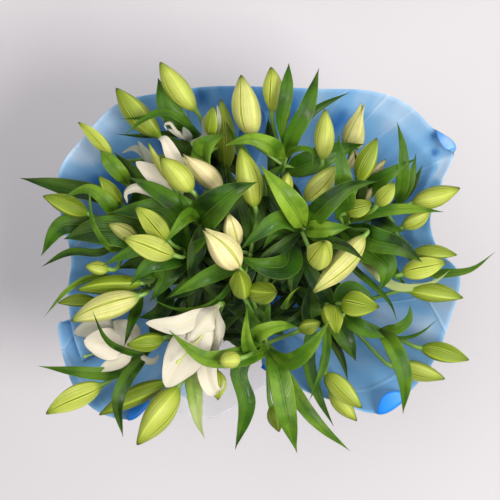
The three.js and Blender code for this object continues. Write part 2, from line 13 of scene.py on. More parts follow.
import bpy
import numpy as np
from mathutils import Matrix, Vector


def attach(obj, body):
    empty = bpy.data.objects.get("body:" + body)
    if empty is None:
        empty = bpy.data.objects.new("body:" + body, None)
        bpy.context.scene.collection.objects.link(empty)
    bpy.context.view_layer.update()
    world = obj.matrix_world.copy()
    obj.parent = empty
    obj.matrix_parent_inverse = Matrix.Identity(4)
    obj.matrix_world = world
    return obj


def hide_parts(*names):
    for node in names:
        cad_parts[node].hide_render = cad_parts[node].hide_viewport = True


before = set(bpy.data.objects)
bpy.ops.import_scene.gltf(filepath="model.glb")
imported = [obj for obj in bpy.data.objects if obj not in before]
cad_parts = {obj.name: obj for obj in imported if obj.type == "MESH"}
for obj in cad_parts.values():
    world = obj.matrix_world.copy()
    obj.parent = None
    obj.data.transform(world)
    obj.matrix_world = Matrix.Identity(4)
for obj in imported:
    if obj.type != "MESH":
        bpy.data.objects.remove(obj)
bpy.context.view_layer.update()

# %% [markdown]
# ## The camera
# The bunch is looked at from straight above. A long lens 2.1 m over the vase's foot keeps
# the heads from bulging towards the edges. Places on the flowers are easiest to read in
# that view, so a place is written as (u, v, z): u to the right and v downwards in a 500 x
# 500 view, and z the height in millimetres. `at` turns it into metres.

# %% Camera and the view's own measure
VIEW_HEIGHT = 2.100
VIEW_X, VIEW_Y = -0.010, 0.025
VIEW_CENTRE = 250
VIEW_SPREAD = 0.00096
MM = 0.001

camera_data = bpy.data.cameras.new("view_from_above")
camera_data.lens = 75
camera_data.sensor_width = 36
camera = bpy.data.objects.new("view_from_above", camera_data)
camera.location = (VIEW_X, VIEW_Y, VIEW_HEIGHT)
bpy.context.scene.collection.objects.link(camera)
bpy.context.scene.camera = camera


def at(place):
    """The point in metres of a place (u, v, z)."""
    u, v, z = place
    scale = (VIEW_HEIGHT - z * MM) * VIEW_SPREAD
    return np.array([
        VIEW_X + (u - VIEW_CENTRE) * scale, VIEW_Y + (VIEW_CENTRE - v) * scale, z * MM,
    ])


print("middle of the view on the floor:", at((250, 250, 0)))

# %% [markdown]
# ## Where everything grows
# These rows are the plan of the bunch. A stem has the place where its head branches. A bud
# has its stem, its tip, its base, its width in millimetres and how ripe it is, from 0, hard
# and green, to 1, cream and about to open. A leaf has its stem, the height where it leaves
# it, its width, its roll in degrees, how bright it is, which is partly its own green and
# partly painted light and shade, and the places that its midrib passes. Where there is a last
# number, one over 1 moves its widest place towards the tip, and one under 1 towards the foot.
#
# A flower has its stem, its throat and its petals. A petal has its width, how much it is in
# the shade, how far it is cupped, where a number under 0 arches it over, and its places. A
# sheet of film has its layer, counted outwards, and the places of its rim.

# %% Stems and buds
STEMS = {
    1: (199, 220, 600), 2: (286, 157, 590), 3: (305, 228, 620), 4: (268, 350, 560),
    5: (185, 253, 565), 6: (350, 222, 565), 7: (145, 352, 540), 8: (381, 330, 535),
    9: (142, 290, 540), 10: (398, 207, 530), 11: (204, 136, 555), 12: (344, 315, 565),
    13: (250, 255, 590), 14: (118, 222, 520), 15: (205, 345, 515),
}
BUDS = [
    (11, (160, 62, 590), (196, 111, 575), 34, 0.42),
    (11, (116, 88, 570), (160, 137, 555), 36, 0.12),
    (14, (43, 196, 560), (88, 214, 545), 29, 0.04),
    (5, (135, 207, 625), (168, 240, 600), 32, 0.3),
    (5, (123, 238, 650), (174, 255, 625), 35, 0.45),
    (1, (160, 158, 665), (192, 191, 645), 35, 0.4),
    (1, (185, 157, 625), (222, 188, 605), 32, 0.95),
    (11, (221, 99, 590), (226, 170, 550), 30, 0.1),
    (2, (241, 75, 620), (253, 137, 600), 40, 0.6),
    (2, (271, 67, 620), (272, 113, 600), 29, 0.4),
    (13, (240, 147, 645), (255, 207, 625), 36, 0.33),
    (2, (325, 109, 625), (322, 160, 605), 29, 0.45),
    (6, (362, 109, 575), (352, 149, 560), 33, 0.7),
    (6, (377, 138, 625), (359, 182, 605), 29, 0.05),
    (3, (337, 165, 625), (305, 200, 605), 31, 0.5),
    (10, (460, 188, 565), (412, 203, 550), 32, 0.35),
    (3, (324, 241, 700), (318, 262, 640), 36, 0.4),
    (6, (314, 291, 640), (364, 236, 610), 35, 0.65),
    (10, (457, 255, 550), (413, 252, 540), 22, 0.12),
    (10, (446, 262, 590), (402, 274, 575), 32, 0.34),
    (12, (463, 298, 560), (409, 291, 550), 29, 0.12),
    (12, (379, 307, 635), (343, 304, 600), 37, 0.08),
    (12, (337, 335, 640), (328, 308, 590), 29, 0.12),
    (8, (469, 360, 550), (421, 348, 540), 29, 0.04),
    (12, (445, 379, 535), (394, 366, 525), 29, 0.2),
    (12, (362, 408, 560), (326, 373, 545), 30, 0.2),
    (15, (137, 445, 560), (178, 387, 545), 43, 0.32),
    (15, (99, 415, 530), (167, 382, 520), 30, 0.0),
    (7, (46, 414, 560), (102, 385, 550), 35, 0.38),
    (9, (71, 321, 610), (139, 296, 590), 38, 0.65),
    (9, (77, 290, 575), (142, 283, 560), 29, 0.0),
    (7, (127, 345, 620), (164, 338, 600), 26, 0.0),
    (4, (238, 270, 690), (243, 293, 640), 30, 0.07),
    (4, (277, 292, 690), (254, 292, 635), 31, 0.06),
    (13, (206, 232, 698), (239, 268, 668), 40, 0.88),
]
SMALL_BUDS = [
    (11, (78, 122, 560), (112, 156, 550), 20, 0.3),
    (5, (108, 224, 590), (138, 240, 580), 23, 0.6),
    (11, (213, 106, 630), (212, 137, 600), 20, 0.04),
    (2, (287, 100, 600), (285, 123, 592), 12, 0.1),
    (6, (386, 159, 585), (366, 180, 575), 14, 1.0),
    (6, (372, 187, 585), (360, 204, 575), 14, 1.0),
    (6, (357, 149, 592), (347, 171, 582), 12, 1.0),
    (3, (288, 172, 665), (283, 199, 645), 20, 0.35),
    (6, (394, 182, 630), (377, 205, 610), 25, 0.2),
    (6, (374, 203, 602), (346, 213, 590), 27, 0.12),
    (10, (431, 211, 547), (402, 227, 535), 24, 0.3),
    (4, (321, 322, 600), (299, 331, 590), 22, 0.1),
    (12, (357, 421, 530), (330, 388, 520), 26, 0.3),
    (4, (279, 432, 550), (271, 406, 535), 23, 0.0),
    (15, (218, 400, 570), (216, 370, 555), 26, 0.3),
    (9, (58, 303, 555), (96, 300, 545), 19, 0.02),
    (14, (85, 266, 575), (109, 269, 565), 20, 0.35),
    (14, (99, 176, 590), (122, 204, 560), 22, 0.0),
    (4, (219, 363, 672), (240, 358, 655), 24, 0.42),
    (13, (228, 213, 655), (238, 245, 625), 26, 0.85),
    (1, (148, 142, 622), (172, 184, 612), 12, 0.45),
]
print("stems", len(STEMS), "buds", len(BUDS), "small buds", len(SMALL_BUDS))

# %% Leaves
LEAVES = [
    (11, 540, 33, 0, 0.3, [(178, 122, 560), (166, 102, 572), (158, 78, 570)], 1.5),
    (11, 555, 12, 0, 0.5, [(165, 112, 600), (148, 117, 605), (123, 136, 590)]),
    (11, 550, 9, 0, 0.35, [(160, 114, 580), (140, 118, 588), (119, 119, 582)]),
    (11, 545, 9, 0, 0.05, [(170, 134, 540), (145, 136, 540), (115, 134, 535)]),
    (11, 553, 44, 0, 0.72, [(206, 160, 589), (207, 143, 618), (226, 134, 628)]),
    (13, 560, 30, 0, 0.15, [(236, 200, 590), (226, 163, 585)]),
    (2, 590, 24, 0, 0.7, [(270, 146, 640), (250, 139, 655), (224, 146, 650)]),
    (2, 588, 20, 0, 0.4, [(281, 122, 620), (286, 95, 635), (289, 63, 630)], 1.9),
    (2, 586, 25, 0, 0.3, [(292, 137, 610), (307, 108, 625), (319, 68, 610)]),
    (2, 580, 14, 0, 0.1, [(297, 132, 590), (303, 110, 590)]),
    (2, 590, 9, 0, 0.6, [(298, 149, 625), (311, 150, 625), (313, 168, 610)]),
    (2, 565, 15, 0, 0.3, [(305, 120, 560), (322, 106, 560), (350, 92, 565)]),
    (2, 560, 36, 0, 0.25, [(312, 162, 594), (340, 150, 592), (364, 144, 588)]),
    (6, 550, 31, 0, 0.5, [(344, 188, 640), (341, 160, 655), (338, 133, 645)]),
    (10, 530, 19, 0, 0.45, [(402, 180, 590), (403, 150, 605), (397, 121, 595)]),
    (10, 528, 17, 0, 0.5, [(406, 188, 565), (413, 170, 575), (416, 153, 575)]),
    (6, 560, 26, 0, 0.45, [(365, 192, 575), (392, 172, 600), (417, 158, 605)]),
    (10, 520, 14, 0, 0.1, [(412, 186, 540), (423, 164, 545)]),
    (3, 620, 31, 0, 0.25, [(325, 205, 665), (350, 187, 675), (378, 181, 660)], 0.75),
    (3, 618, 34, 0, 0.85, [(292, 205, 670), (275, 183, 685), (260, 165, 685)]),
    (3, 612, 26, 0, 0.75, [(326, 229, 650), (351, 227, 650)]),
    (3, 590, 8, 60, 0.4, [(286, 228, 620), (270, 203, 640)]),
    (3, 605, 26, 0, 0.45, [(279, 220, 650), (260, 232, 655), (240, 250, 650)]),
    (3, 570, 15, 0, 0.3, [(276, 232, 600), (262, 250, 610)]),
    (3, 540, 39, 0, 0.3, [(284, 266, 600), (262, 266, 625), (236, 255, 635)]),
    (3, 530, 14, 0, 0.6, [(284, 270, 590), (270, 286, 600)]),
    (1, 600, 49, 0, 0.25, [(215, 206, 650), (234, 191, 670), (257, 182, 665)], 0.8),
    (1, 595, 25, 0, 0.3, [(178, 205, 620), (155, 190, 625), (129, 177, 610)]),
    (1, 598, 20, 0, 0.35, [(190, 206, 625), (178, 192, 635)]),
    (1, 590, 22, 0, 0.5, [(187, 217, 650), (175, 230, 670), (164, 244, 665)]),
    (5, 565, 18, 0, 0.65, [(198, 245, 600), (212, 234, 610)]),
    (5, 555, 15, 0, 0.35, [(182, 224, 585), (174, 205, 590)]),
    (13, 560, 25, 0, 0.6, [(228, 268, 600), (200, 280, 620), (168, 298, 610)]),
    (5, 548, 30, 0, 0.3, [(160, 262, 596), (145, 268, 604), (130, 286, 600)]),
    (5, 530, 48, 0, 0.3, [(150, 240, 552), (120, 231, 562), (92, 231, 560), (64, 239, 550)], 1.5),
    (5, 540, 25, 0, 0.4, [(150, 246, 588), (126, 254, 594), (102, 266, 590)]),
    (14, 500, 13, 0, 0.2, [(102, 252, 530), (70, 252, 540), (41, 267, 530)], 1.4),
    (9, 530, 11, 0, 0.75, [(96, 277, 540), (69, 289, 560), (44, 317, 545)]),
    (7, 540, 11, 0, 0.3, [(139, 354, 572), (120, 348, 610), (104, 336, 650), (92, 310, 660)]),
    (9, 540, 17, 0, 0.3, [(138, 306, 555), (130, 328, 600), (124, 347, 600)]),
    (7, 520, 21, 0, 0.45, [(131, 365, 532), (110, 373, 548), (75, 371, 556), (38, 366, 548)]),
    (7, 538, 21, 0, 0.12, [(140, 362, 560), (127, 378, 580), (118, 402, 590), (123, 437, 565)]),
    (4, 560, 29, 0, 0.75, [(240, 356, 620), (204, 357, 655), (185, 345, 670), (169, 330, 670)]),
    (4, 555, 20, 0, 0.85, [(251, 352, 610), (246, 335, 650), (247, 306, 670)]),
    (4, 560, 25, 0, 0.75, [(256, 335, 620), (278, 326, 640), (299, 327, 615)]),
    (4, 558, 25, 0, 0.7, [(290, 361, 600), (310, 347, 625), (330, 320, 640)]),
    (4, 556, 34, 0, 0.62, [(279, 375, 590), (287, 415, 590), (297, 453, 565)]),
    (4, 545, 28, 0, 0.4, [(239, 369, 560), (247, 402, 560), (235, 450, 530)]),
    (4, 550, 20, 0, 0.7, [(252, 357, 585), (231, 368, 575)]),
    (4, 530, 23, 0, 0.65, [(290, 385, 540), (315, 420, 545), (350, 451, 525)]),
    (12, 560, 36, 0, 0.4, [(350, 292, 580), (376, 300, 580)]),
    (12, 510, 32, 0, 0.02, [(312, 318, 530), (311, 280, 560)]),
    (12, 500, 15, 0, 0.05, [(332, 338, 520), (343, 362, 520), (348, 382, 505)]),
    (12, 520, 32, 0, 0.15, [(341, 330, 540), (350, 348, 540), (356, 361, 530)]),
    (12, 560, 23, 0, 0.4, [(362, 328, 580), (386, 338, 570)]),
    (12, 500, 20, 0, 0.3, [(309, 362, 510), (318, 395, 515), (334, 427, 500)]),
    (12, 530, 13, 0, 0.5, [(325, 360, 570), (317, 383, 575), (309, 401, 560)]),
    (15, 500, 26, 0, 1.42, [(193, 368, 520), (195, 395, 530), (199, 424, 520), (205, 439, 510)]),
    (8, 535, 17, 0, 0.55, [(398, 328, 555), (409, 318, 560), (410, 304, 560)]),
    (8, 533, 26, 0, 0.55, [(392, 345, 580), (404, 375, 590), (403, 414, 565)]),
    (8, 525, 6, 0, 0.35, [(400, 338, 530), (420, 333, 540), (438, 319, 545)]),
    (6, 540, 11, 0, 0.2, [(352, 266, 550), (372, 284, 555), (390, 303, 555), (397, 321, 545)]),
    (6, 560, 17, 0, 0.65, [(376, 212, 600), (410, 209, 610), (444, 212, 595)]),
    (6, 555, 37, 0, 0.25, [(376, 241, 600), (400, 247, 615), (422, 262, 600)]),
    (6, 540, 46, 0, 0.4, [(372, 253, 566), (387, 268, 580), (380, 291, 566)]),
    (6, 535, 15, 0, 1.75, [(392, 285, 548), (417, 287, 556), (436, 281, 556), (450, 270, 546)]),
    (6, 560, 20, 0, 0.05, [(360, 190, 590), (359, 170, 600), (354, 150, 600)]),
    (6, 535, 28, 0, 0.35, [(370, 254, 550), (388, 266, 546), (407, 287, 540)]),
    (10, 510, 17, 0, 0.7, [(430, 272, 530), (448, 273, 540), (472, 269, 550), (495, 252, 560)]),
    (14, 520, 28, 0, 0.0, [(105, 198, 530), (65, 187, 535), (20, 178, 525)]),
    (14, 522, 22, 0, 0.6, [(110, 206, 575), (90, 189, 585), (63, 197, 575)]),
    (14, 505, 9, 0, 0.7, [(114, 250, 560), (93, 222, 605), (89, 181, 620)]),
    (14, 515, 33, 0, 0.3, [(92, 226, 535), (62, 226, 545), (41, 256, 530)]),
    (5, 548, 40, 0, 0.32, [(162, 212, 592), (138, 210, 595), (109, 213, 586)]),
    (14, 510, 24, 0, 0.85, [
        (136, 196, 545), (126, 180, 570), (115, 167, 588), (100, 150, 582),
    ], 3.4),
    (5, 520, 34, 0, 0.1, [(165, 261, 552), (142, 261, 560), (116, 269, 552)]),
    (14, 508, 30, 0, 0.1, [(141, 186, 560), (129, 168, 570), (114, 152, 562)]),
    (4, 480, 12, 0, 0.8, [(264, 292, 590), (269, 254, 622)]),
    (4, 500, 15, 0, 0.4, [(252, 318, 590), (242, 293, 620)]),
    (4, 505, 13, 0, 0.35, [(267, 315, 590), (268, 300, 600), (261, 290, 600)]),
    (15, 505, 14, 0, 0.35, [(235, 318, 560), (248, 311, 565)]),
    (9, 500, 28, 0, 0.12, [(160, 312, 540), (138, 318, 545)]),
    (9, 530, 32, 0, 0.3, [(150, 270, 580), (130, 282, 590)]),
    (9, 470, 30, 0, 0.15, [(190, 285, 520), (163, 301, 535)]),
    (5, 540, 26, 0, 0.2, [(170, 275, 560), (150, 302, 560)]),
    (13, 520, 9, 0, 0.5, [(210, 305, 590), (176, 309, 598), (148, 297, 590)]),
    (12, 450, 12, 0, 0.75, [(284, 306, 560), (292, 293, 575), (301, 286, 570)]),
    (12, 430, 15, 0, 0.45, [(288, 281, 560), (302, 266, 575)]),
    (7, 500, 24, 0, 0.1, [(160, 335, 520), (150, 312, 540)]),
    (11, 500, 30, 0, 0.2, [(190, 150, 540), (184, 122, 545)]),
    (11, 500, 34, 0, -0.05, [(193, 157, 546), (178, 148, 554), (157, 131, 550)]),
    (1, 520, 30, 0, -0.05, [(190, 200, 545), (170, 180, 552), (150, 168, 548)]),
    (11, 520, 26, 0, 0.25, [(212, 150, 560), (228, 128, 570)]),
    (1, 540, 30, 0, 0.15, [(170, 215, 560), (142, 200, 570)]),
    (10, 500, 26, 0, 0.2, [(385, 225, 540), (405, 232, 550)]),
    (3, 612, 18, 0, 0.2, [(326, 241, 652), (348, 248, 670), (366, 262, 664)]),
    (4, 500, 26, 0, 0.3, [(262, 322, 560), (250, 305, 575), (241, 291, 580)]),
    (1, 560, 34, 0, 0.08, [(215, 190, 560), (222, 160, 565)]),
    (11, 530, 34, 0, 0.1, [(207, 165, 540), (227, 178, 545)]),
    (13, 540, 32, 0, 0.1, [(240, 190, 560), (247, 160, 565)]),
    (13, 565, 26, 0, 0.3, [(258, 190, 590), (246, 160, 600), (226, 122, 590)]),
    (3, 560, 20, 0, 0.02, [(278, 200, 560), (272, 168, 566), (268, 138, 562)]),
    (2, 560, 24, 0, 0.12, [(276, 160, 560), (270, 135, 560), (268, 118, 560)]),
]
print("leaves", len(LEAVES))

# %% Open flowers and the wrap's edges
FLOWERS = [
    (1, (186, 203, 600), [
        (28, 0.0, 0.4, [(162, 180, 602), (136, 162, 607)]),
        (14, 0.1, -0.8, [
            (162, 197, 606), (147, 190, 613), (133, 188, 612), (124, 194, 604), (127, 203, 594),
        ]),
        (22, 0.0, 0.6, [(180, 172, 596), (171, 152, 600), (163, 138, 598), (158, 140, 590)]),
        (15, 0.9, 0.5, [(160, 172, 582), (150, 158, 586), (138, 141, 586)]),
        (14, 0.9, 0.5, [(150, 160, 576), (135, 148, 577), (122, 153, 568)]),
    ]),
    (15, (221, 304, 592), [
        (28, 0.15, 0.4, [(205, 312, 612), (178, 325, 634), (146, 323, 640)]),
        (58, 0.1, 0.3, [(206, 322, 616), (188, 350, 622), (166, 387, 612)]),
        (30, 0.1, 0.5, [
            (216, 330, 606), (207, 360, 597), (209, 381, 590), (215, 392, 588), (223, 389, 590),
            (224, 381, 594),
        ]),
        (24, 0.2, -0.6, [(217, 325, 612), (217, 349, 600)]),
        (36, 0.15, -0.6, [(209, 316, 628), (188, 341, 634)]),
        (34, 0.2, 0.3, [(206, 338, 602), (192, 366, 592)]),
    ]),
    (7, (137, 348, 548), [
        (34, 0.5, 0.4, [(118, 334, 545), (96, 327, 546), (74, 333, 540)]),
        (48, 0.0, 0.3, [(118, 345, 560), (101, 343, 567), (84, 341, 568)]),
        (21, 0.1, 0.6, [(126, 358, 560), (112, 364, 559), (99, 371, 552)]),
        (32, 0.3, 0.4, [(132, 335, 560), (114, 321, 560)]),
        (11, 0.1, -0.6, [(146, 361, 562), (154, 361, 566), (159, 355, 568)]),
    ]),
    (11, (194, 144, 574), [
        (9, 0.3, -0.5, [(184, 137, 578), (175, 132, 581), (168, 129, 582)]),
        (12, 0.9, 0.5, [(188, 136, 584), (183, 127, 586)]),
        (6, 0.0, -0.6, [(177, 132, 584), (170, 123, 590), (164, 125, 591), (167, 130, 588)]),
        (10, 0.5, 0.5, [(204, 136, 586), (205, 122, 604), (210, 110, 622)]),
        (9, 0.7, 0.5, [(212, 136, 592), (219, 119, 622), (217, 105, 622)]),
    ]),
]
SHEETS = {
    "wrap_sheet_main": (0, [
        (262, 366, 480), (303, 389, 500), (340, 402, 505), (376, 413, 505), (402, 398, 505),
        (430, 365, 505), (446, 330, 510), (459, 291, 510), (458, 272, 505), (437, 250, 500),
        (429, 223, 500), (434, 200, 504), (441, 184, 510), (454, 150, 520), (436, 132, 515),
        (405, 104, 505), (370, 92, 500), (318, 89, 500), (265, 88, 500), (205, 87, 500),
        (157, 94, 505), (118, 105, 505), (88, 133, 505), (60, 170, 510), (62, 215, 505),
        (72, 257, 500), (68, 293, 500), (73, 330, 500), (84, 362, 490),
    ]),
    "wrap_sheet_left": (1, [
        (74, 320, 482), (61, 322, 490), (59, 324, 490), (62, 344, 490), (68, 366, 490),
        (77, 388, 490), (99, 411, 490),
        (129, 418, 485), (150, 401, 475), (170, 388, 467), (187, 397, 460),
    ]),
    "wrap_sheet_pale": (2, [
        (118, 392, 455), (150, 404, 458), (180, 411, 460), (205, 416, 462), (236, 404, 460),
        (262, 385, 458), (292, 372, 452),
    ]),
}
print("open flowers", len(FLOWERS), "wrap sheets", len(SHEETS))

# %% [markdown]
# ## Paths
# Stems, leaves and petals all follow smooth paths through a few places. A centripetal
# Catmull-Rom curve passes every place without looping, and `evenly` shares its length out
# in equal steps, so that a leaf isn't stretched where its places lie far apart.

# %% Smooth paths
def evenly(path, count):
    """The path again, as count points equally far apart along it."""
    path = np.asarray(path, float)
    walked = np.r_[0, np.cumsum(np.linalg.norm(np.diff(path, axis=0), axis=1))]
    wanted = np.linspace(0, walked[-1], count)
    return np.stack([np.interp(wanted, walked, path[:, i]) for i in range(3)], axis=1)


def smooth_path(points, count=28):
    """A centripetal Catmull-Rom curve through the points."""
    p = np.asarray(points, float)
    p = np.vstack([2 * p[0] - p[1], p, 2 * p[-1] - p[-2]])
    s = np.linspace(0, 1, 24)[:, None]
    pieces = []
    for a, b, c, d in zip(p, p[1:], p[2:], p[3:]):
        t1, t2, t3 = (max(np.linalg.norm(x), 1e-6) ** 0.5 for x in (b - a, c - b, d - c))
        m1 = ((b - a) / t1 - (c - a) / (t1 + t2) + (c - b) / t2) * t2
        m2 = ((c - b) / t2 - (d - b) / (t2 + t3) + (d - c) / t3) * t2
        pieces.append(
            (2 * b - 2 * c + m1 + m2) * s**3 + (3 * c - 3 * b - 2 * m1 - m2) * s**2 + m1 * s + b
        )
    return evenly(np.vstack(pieces), count)


def unit(v):
    v = np.asarray(v, float)
    return v / np.maximum(np.linalg.norm(v, axis=-1, keepdims=True), 1e-9)


SIDE_REACH = 0.3


def sides_of(path, roll=0.0):
    """The level direction across a blade at each point, rolled about the path in radians.

    It comes from the way that the path takes over a share of its length on both sides.
    """
    count = len(path)
    step = max(1, round(SIDE_REACH * (count - 1)))
    before = path[np.maximum(np.arange(count) - step, 0)]
    after = path[np.minimum(np.arange(count) + step, count - 1)]
    way = after - before
    side = unit(np.stack([way[:, 1], -way[:, 0], np.zeros(count)], axis=1))
    along = unit(np.gradient(path, axis=0))
    return (
        side * math.cos(roll)
        + np.cross(along, side) * math.sin(roll)
        + along * (along * side).sum(1)[:, None] * (1 - math.cos(roll))
    )


def length_of(path):
    return float(np.linalg.norm(np.diff(path, axis=0), axis=1).sum())


first_leaf = smooth_path([at(place) for place in LEAVES[0][5]])
print("the first leaf is", round(length_of(first_leaf), 4), "m long")

# %% [markdown]
# ## The stems' run
# The stems keep their order round the bunch. Each has a slot on a narrow ring at the tie,
# above it they bend out to their heads, and below it they turn together like a spiral
# hand-tied bunch and spread to a wider ring on the floor of the vase.

# %% Stem paths
FOOT_RING, WAIST_RING = 0.041, 0.023
WAIST_HEIGHT, WAIST_RISE, WAIST_PINCH = 0.289, 0.072, 0.002
BUNDLE_TWIST = math.radians(-65)
STEM_FOOT, UPPER_POINTS = 0.0083, 200
TURN = 2 * math.pi


def ring_point(radius, angle, z):
    return np.array([radius * math.cos(angle), radius * math.sin(angle), z])


def stem_runs():
    """For each stem, its straight lower part and its bent upper part."""
    tops = {number: at(place) for number, place in STEMS.items()}
    order = sorted(tops, key=lambda n: math.atan2(tops[n][1], tops[n][0]))
    runs = {}
    for place, number in enumerate(order):
        angle = -math.pi + (place + 0.5) * TURN / len(order)
        foot = ring_point(FOOT_RING, angle + BUNDLE_TWIST, STEM_FOOT)
        waist = ring_point(WAIST_RING, angle, WAIST_HEIGHT)
        bend = ring_point(WAIST_RING - WAIST_PINCH, angle, WAIST_HEIGHT + WAIST_RISE)
        t = np.linspace(0, 1, UPPER_POINTS)[:, None]
        upper = (1 - t) ** 2 * waist + 2 * t * (1 - t) * bend + t**2 * tops[number]
        runs[number] = (np.array([foot, waist]), upper)
    return runs


RUNS = stem_runs()


def on_stem(number, z):
    """The point of a stem's upper part at a height in millimetres."""
    upper = RUNS[number][1]
    return np.array([np.interp(z * MM, upper[:, 2], upper[:, i]) for i in range(3)])


print("stem 1 at 500 mm:", on_stem(1, 500).round(3))

# %% [markdown]
# ## Node trees that read like formulas
# Every leaf is one rule with different numbers, which is what Geometry Nodes are good at.
# Wiring maths nodes one by one hides the rule, so `Field` wraps a socket: adding or
# multiplying two of them places the node and its links. `add` does the same for any node.

# %% A wrapper for sockets
def feed(tree, value, socket):
    """Links a socket or a Field, or sets a plain value."""
    value = getattr(value, "socket", value)
    if isinstance(value, bpy.types.NodeSocket):
        tree.links.new(value, socket)
    else:
        socket.default_value = value


def add(tree, kind, feeds=None, **settings):
    """One node with its settings and its inputs, which are named or numbered."""
    node = tree.nodes.new(kind)
    for key, value in settings.items():
        setattr(node, key, value)
    for key, value in (feeds or {}).items():
        feed(tree, value, node.inputs[key])
    return node


def maths(operation, kind="ShaderNodeMath"):
    """A method for Field that places one maths node."""
    def place(self, *others):
        node = add(self.tree, kind, dict(enumerate((self, *others))), operation=operation)
        return Field(self.tree, node.outputs[0])
    return place


class Field:
    """A number or vector that flows through a node tree."""

    def __init__(self, tree, socket):
        self.tree, self.socket = tree, socket

    __add__ = __radd__ = maths("ADD")
    __mul__ = __rmul__ = maths("MULTIPLY")
    __sub__, __truediv__, __pow__ = maths("SUBTRACT"), maths("DIVIDE"), maths("POWER")
    sin, cos, arccos, angle_to = (
        maths(kind) for kind in ("SINE", "COSINE", "ARCCOSINE", "ARCTAN2"))
    size, exp, at_most = maths("ABSOLUTE"), maths("EXPONENT"), maths("MINIMUM")
    plus, minus, cross, normal = (
        maths(kind, "ShaderNodeVectorMath")
        for kind in ("ADD", "SUBTRACT", "CROSS_PRODUCT", "NORMALIZE"))

    def __rsub__(self, other):
        return self * -1.0 + other

    def __rtruediv__(self, other):
        return self**-1.0 * other

    def bump_at(self, middle, spread):
        """A hump that is 1 where the field is middle, and fades over spread on both sides."""
        return (((self - middle) / spread) ** 2.0 * -1.0).exp()

    def between(self, low, high):
        """From 0 to 1 as the field goes from low to high, with soft ends."""
        feeds = {"Value": self, "From Min": low, "From Max": high}
        node = add(self.tree, "ShaderNodeMapRange", feeds, interpolation_type="SMOOTHSTEP")
        return Field(self.tree, node.outputs["Result"])

    def times(self, number):
        """A vector scaled by a number."""
        feeds = {0: self, "Scale": number}
        node = add(self.tree, "ShaderNodeVectorMath", feeds, operation="SCALE")
        return Field(self.tree, node.outputs[0])

    def part(self, axis):
        """One of a vector's three numbers."""
        node = add(self.tree, "ShaderNodeSeparateXYZ", {0: self})
        return Field(self.tree, node.outputs[axis])


print("fields ready")

# %% Making and running a geometry tree
SOCKETS = {int: "NodeSocketInt", float: "NodeSocketFloat", "look": "NodeSocketMaterial"}


def new_tree(name, **inputs):
    """A geometry tree with named inputs, its group input and a function to name fields."""
    tree = bpy.data.node_groups.new(name, "GeometryNodeTree")
    tree.interface.new_socket("Geometry", in_out="INPUT", socket_type="NodeSocketGeometry")
    for label, value in inputs.items():
        kind = value if value == "look" else type(value)
        socket = tree.interface.new_socket(
            label.replace("_", " "), in_out="INPUT", socket_type=SOCKETS[kind]
        )
        if value != "look":
            socket.default_value = value
    tree.interface.new_socket("Geometry", in_out="OUTPUT", socket_type="NodeSocketGeometry")
    return tree, tree.nodes.new("NodeGroupInput")


def named(tree, name, kind="FLOAT"):
    node = add(tree, "GeometryNodeInputNamedAttribute", {"Name": name}, data_type=kind)
    return Field(tree, node.outputs["Attribute"])


def store(tree, geometry, name, value, kind="FLOAT"):
    feeds = {"Geometry": geometry, "Name": name, "Value": value}
    node = add(tree, "GeometryNodeStoreNamedAttribute", feeds, data_type=kind)
    return node.outputs["Geometry"]


def outline_field(tree, amount, points):
    """A Float Curve through the points, read at amount."""
    node = add(tree, "ShaderNodeFloatCurve", {"Value": amount})
    curve = node.mapping.curves[0]
    for i, (x, y) in enumerate(points):
        point = curve.points[i] if i < 2 else curve.points.new(x, y)
        point.location = (x, y)
    node.mapping.update()
    return Field(tree, node.outputs["Value"])


def finish_tree(tree, geometry, look):
    """Smooth shading, then Realize Instances and Set Material, as every tree here ends."""
    smooth = add(tree, "GeometryNodeSetShadeSmooth", {"Geometry": geometry})
    real = add(tree, "GeometryNodeRealizeInstances", {"Geometry": smooth.outputs[0]})
    made = add(tree, "GeometryNodeSetMaterial", {"Geometry": real.outputs[0], "Material": look})
    add(tree, "NodeGroupOutput", {"Geometry": made.outputs[0]})
    return tree


def link_piece(piece):
    bpy.context.scene.collection.objects.link(piece)
    return piece


def write_values(mesh, values):
    """Stores numbers or vectors on a mesh's points, for trees and finishes to read."""
    for key, data in values.items():
        data = data.astype(np.float32)
        kind, part = ("FLOAT_VECTOR", "vector") if data.ndim == 2 else ("FLOAT", "value")
        mesh.attributes.new(key, kind, "POINT").data.foreach_set(part, data.ravel())


def rails(name, paths, **values):
    """A mesh of open lines. A value is one number, or has one number or array for each path."""
    mesh = bpy.data.meshes.new(name)
    points = np.vstack(paths)
    starts = np.cumsum([0] + [len(p) for p in paths])
    edges = [(i, i + 1) for a, b in zip(starts, starts[1:]) for i in range(a, b - 1)]
    mesh.from_pydata(points.tolist(), edges, [])
    for key, rows in values.items():
        rows = [rows] * len(paths) if isinstance(rows, float) else rows
        spread = []
        for row, path in zip(rows, paths):
            vectors = np.ndim(row) and np.shape(row)[-1] == 3
            spread.append(np.broadcast_to(row, (len(path), 3) if vectors else len(path)))
        write_values(mesh, {key: np.concatenate(spread)})
    return mesh


def grow(name, rail, tree, **values):
    """Runs a tree on its rails, and gives the result as a plain mesh piece."""
    source = link_piece(bpy.data.objects.new(name + "_rails", rail))
    modifier = source.modifiers.new("grow", "NODES")
    modifier.node_group = tree
    for item in tree.interface.items_tree:
        label = item.name.replace(" ", "_")
        if item.in_out == "INPUT" and label in values:
            modifier[item.identifier] = values[label]
    depsgraph = bpy.context.evaluated_depsgraph_get()
    mesh = bpy.data.meshes.new_from_object(source.evaluated_get(depsgraph), depsgraph=depsgraph)
    bpy.data.objects.remove(source)
    mesh.name = name
    return link_piece(bpy.data.objects.new(name, mesh))


def join(name, pieces):
    """Several meshes as one piece."""
    with bpy.context.temp_override(
        active_object=pieces[0], object=pieces[0], selected_editable_objects=pieces
    ):
        bpy.ops.object.join()
    pieces[0].name = name
    return pieces[0]


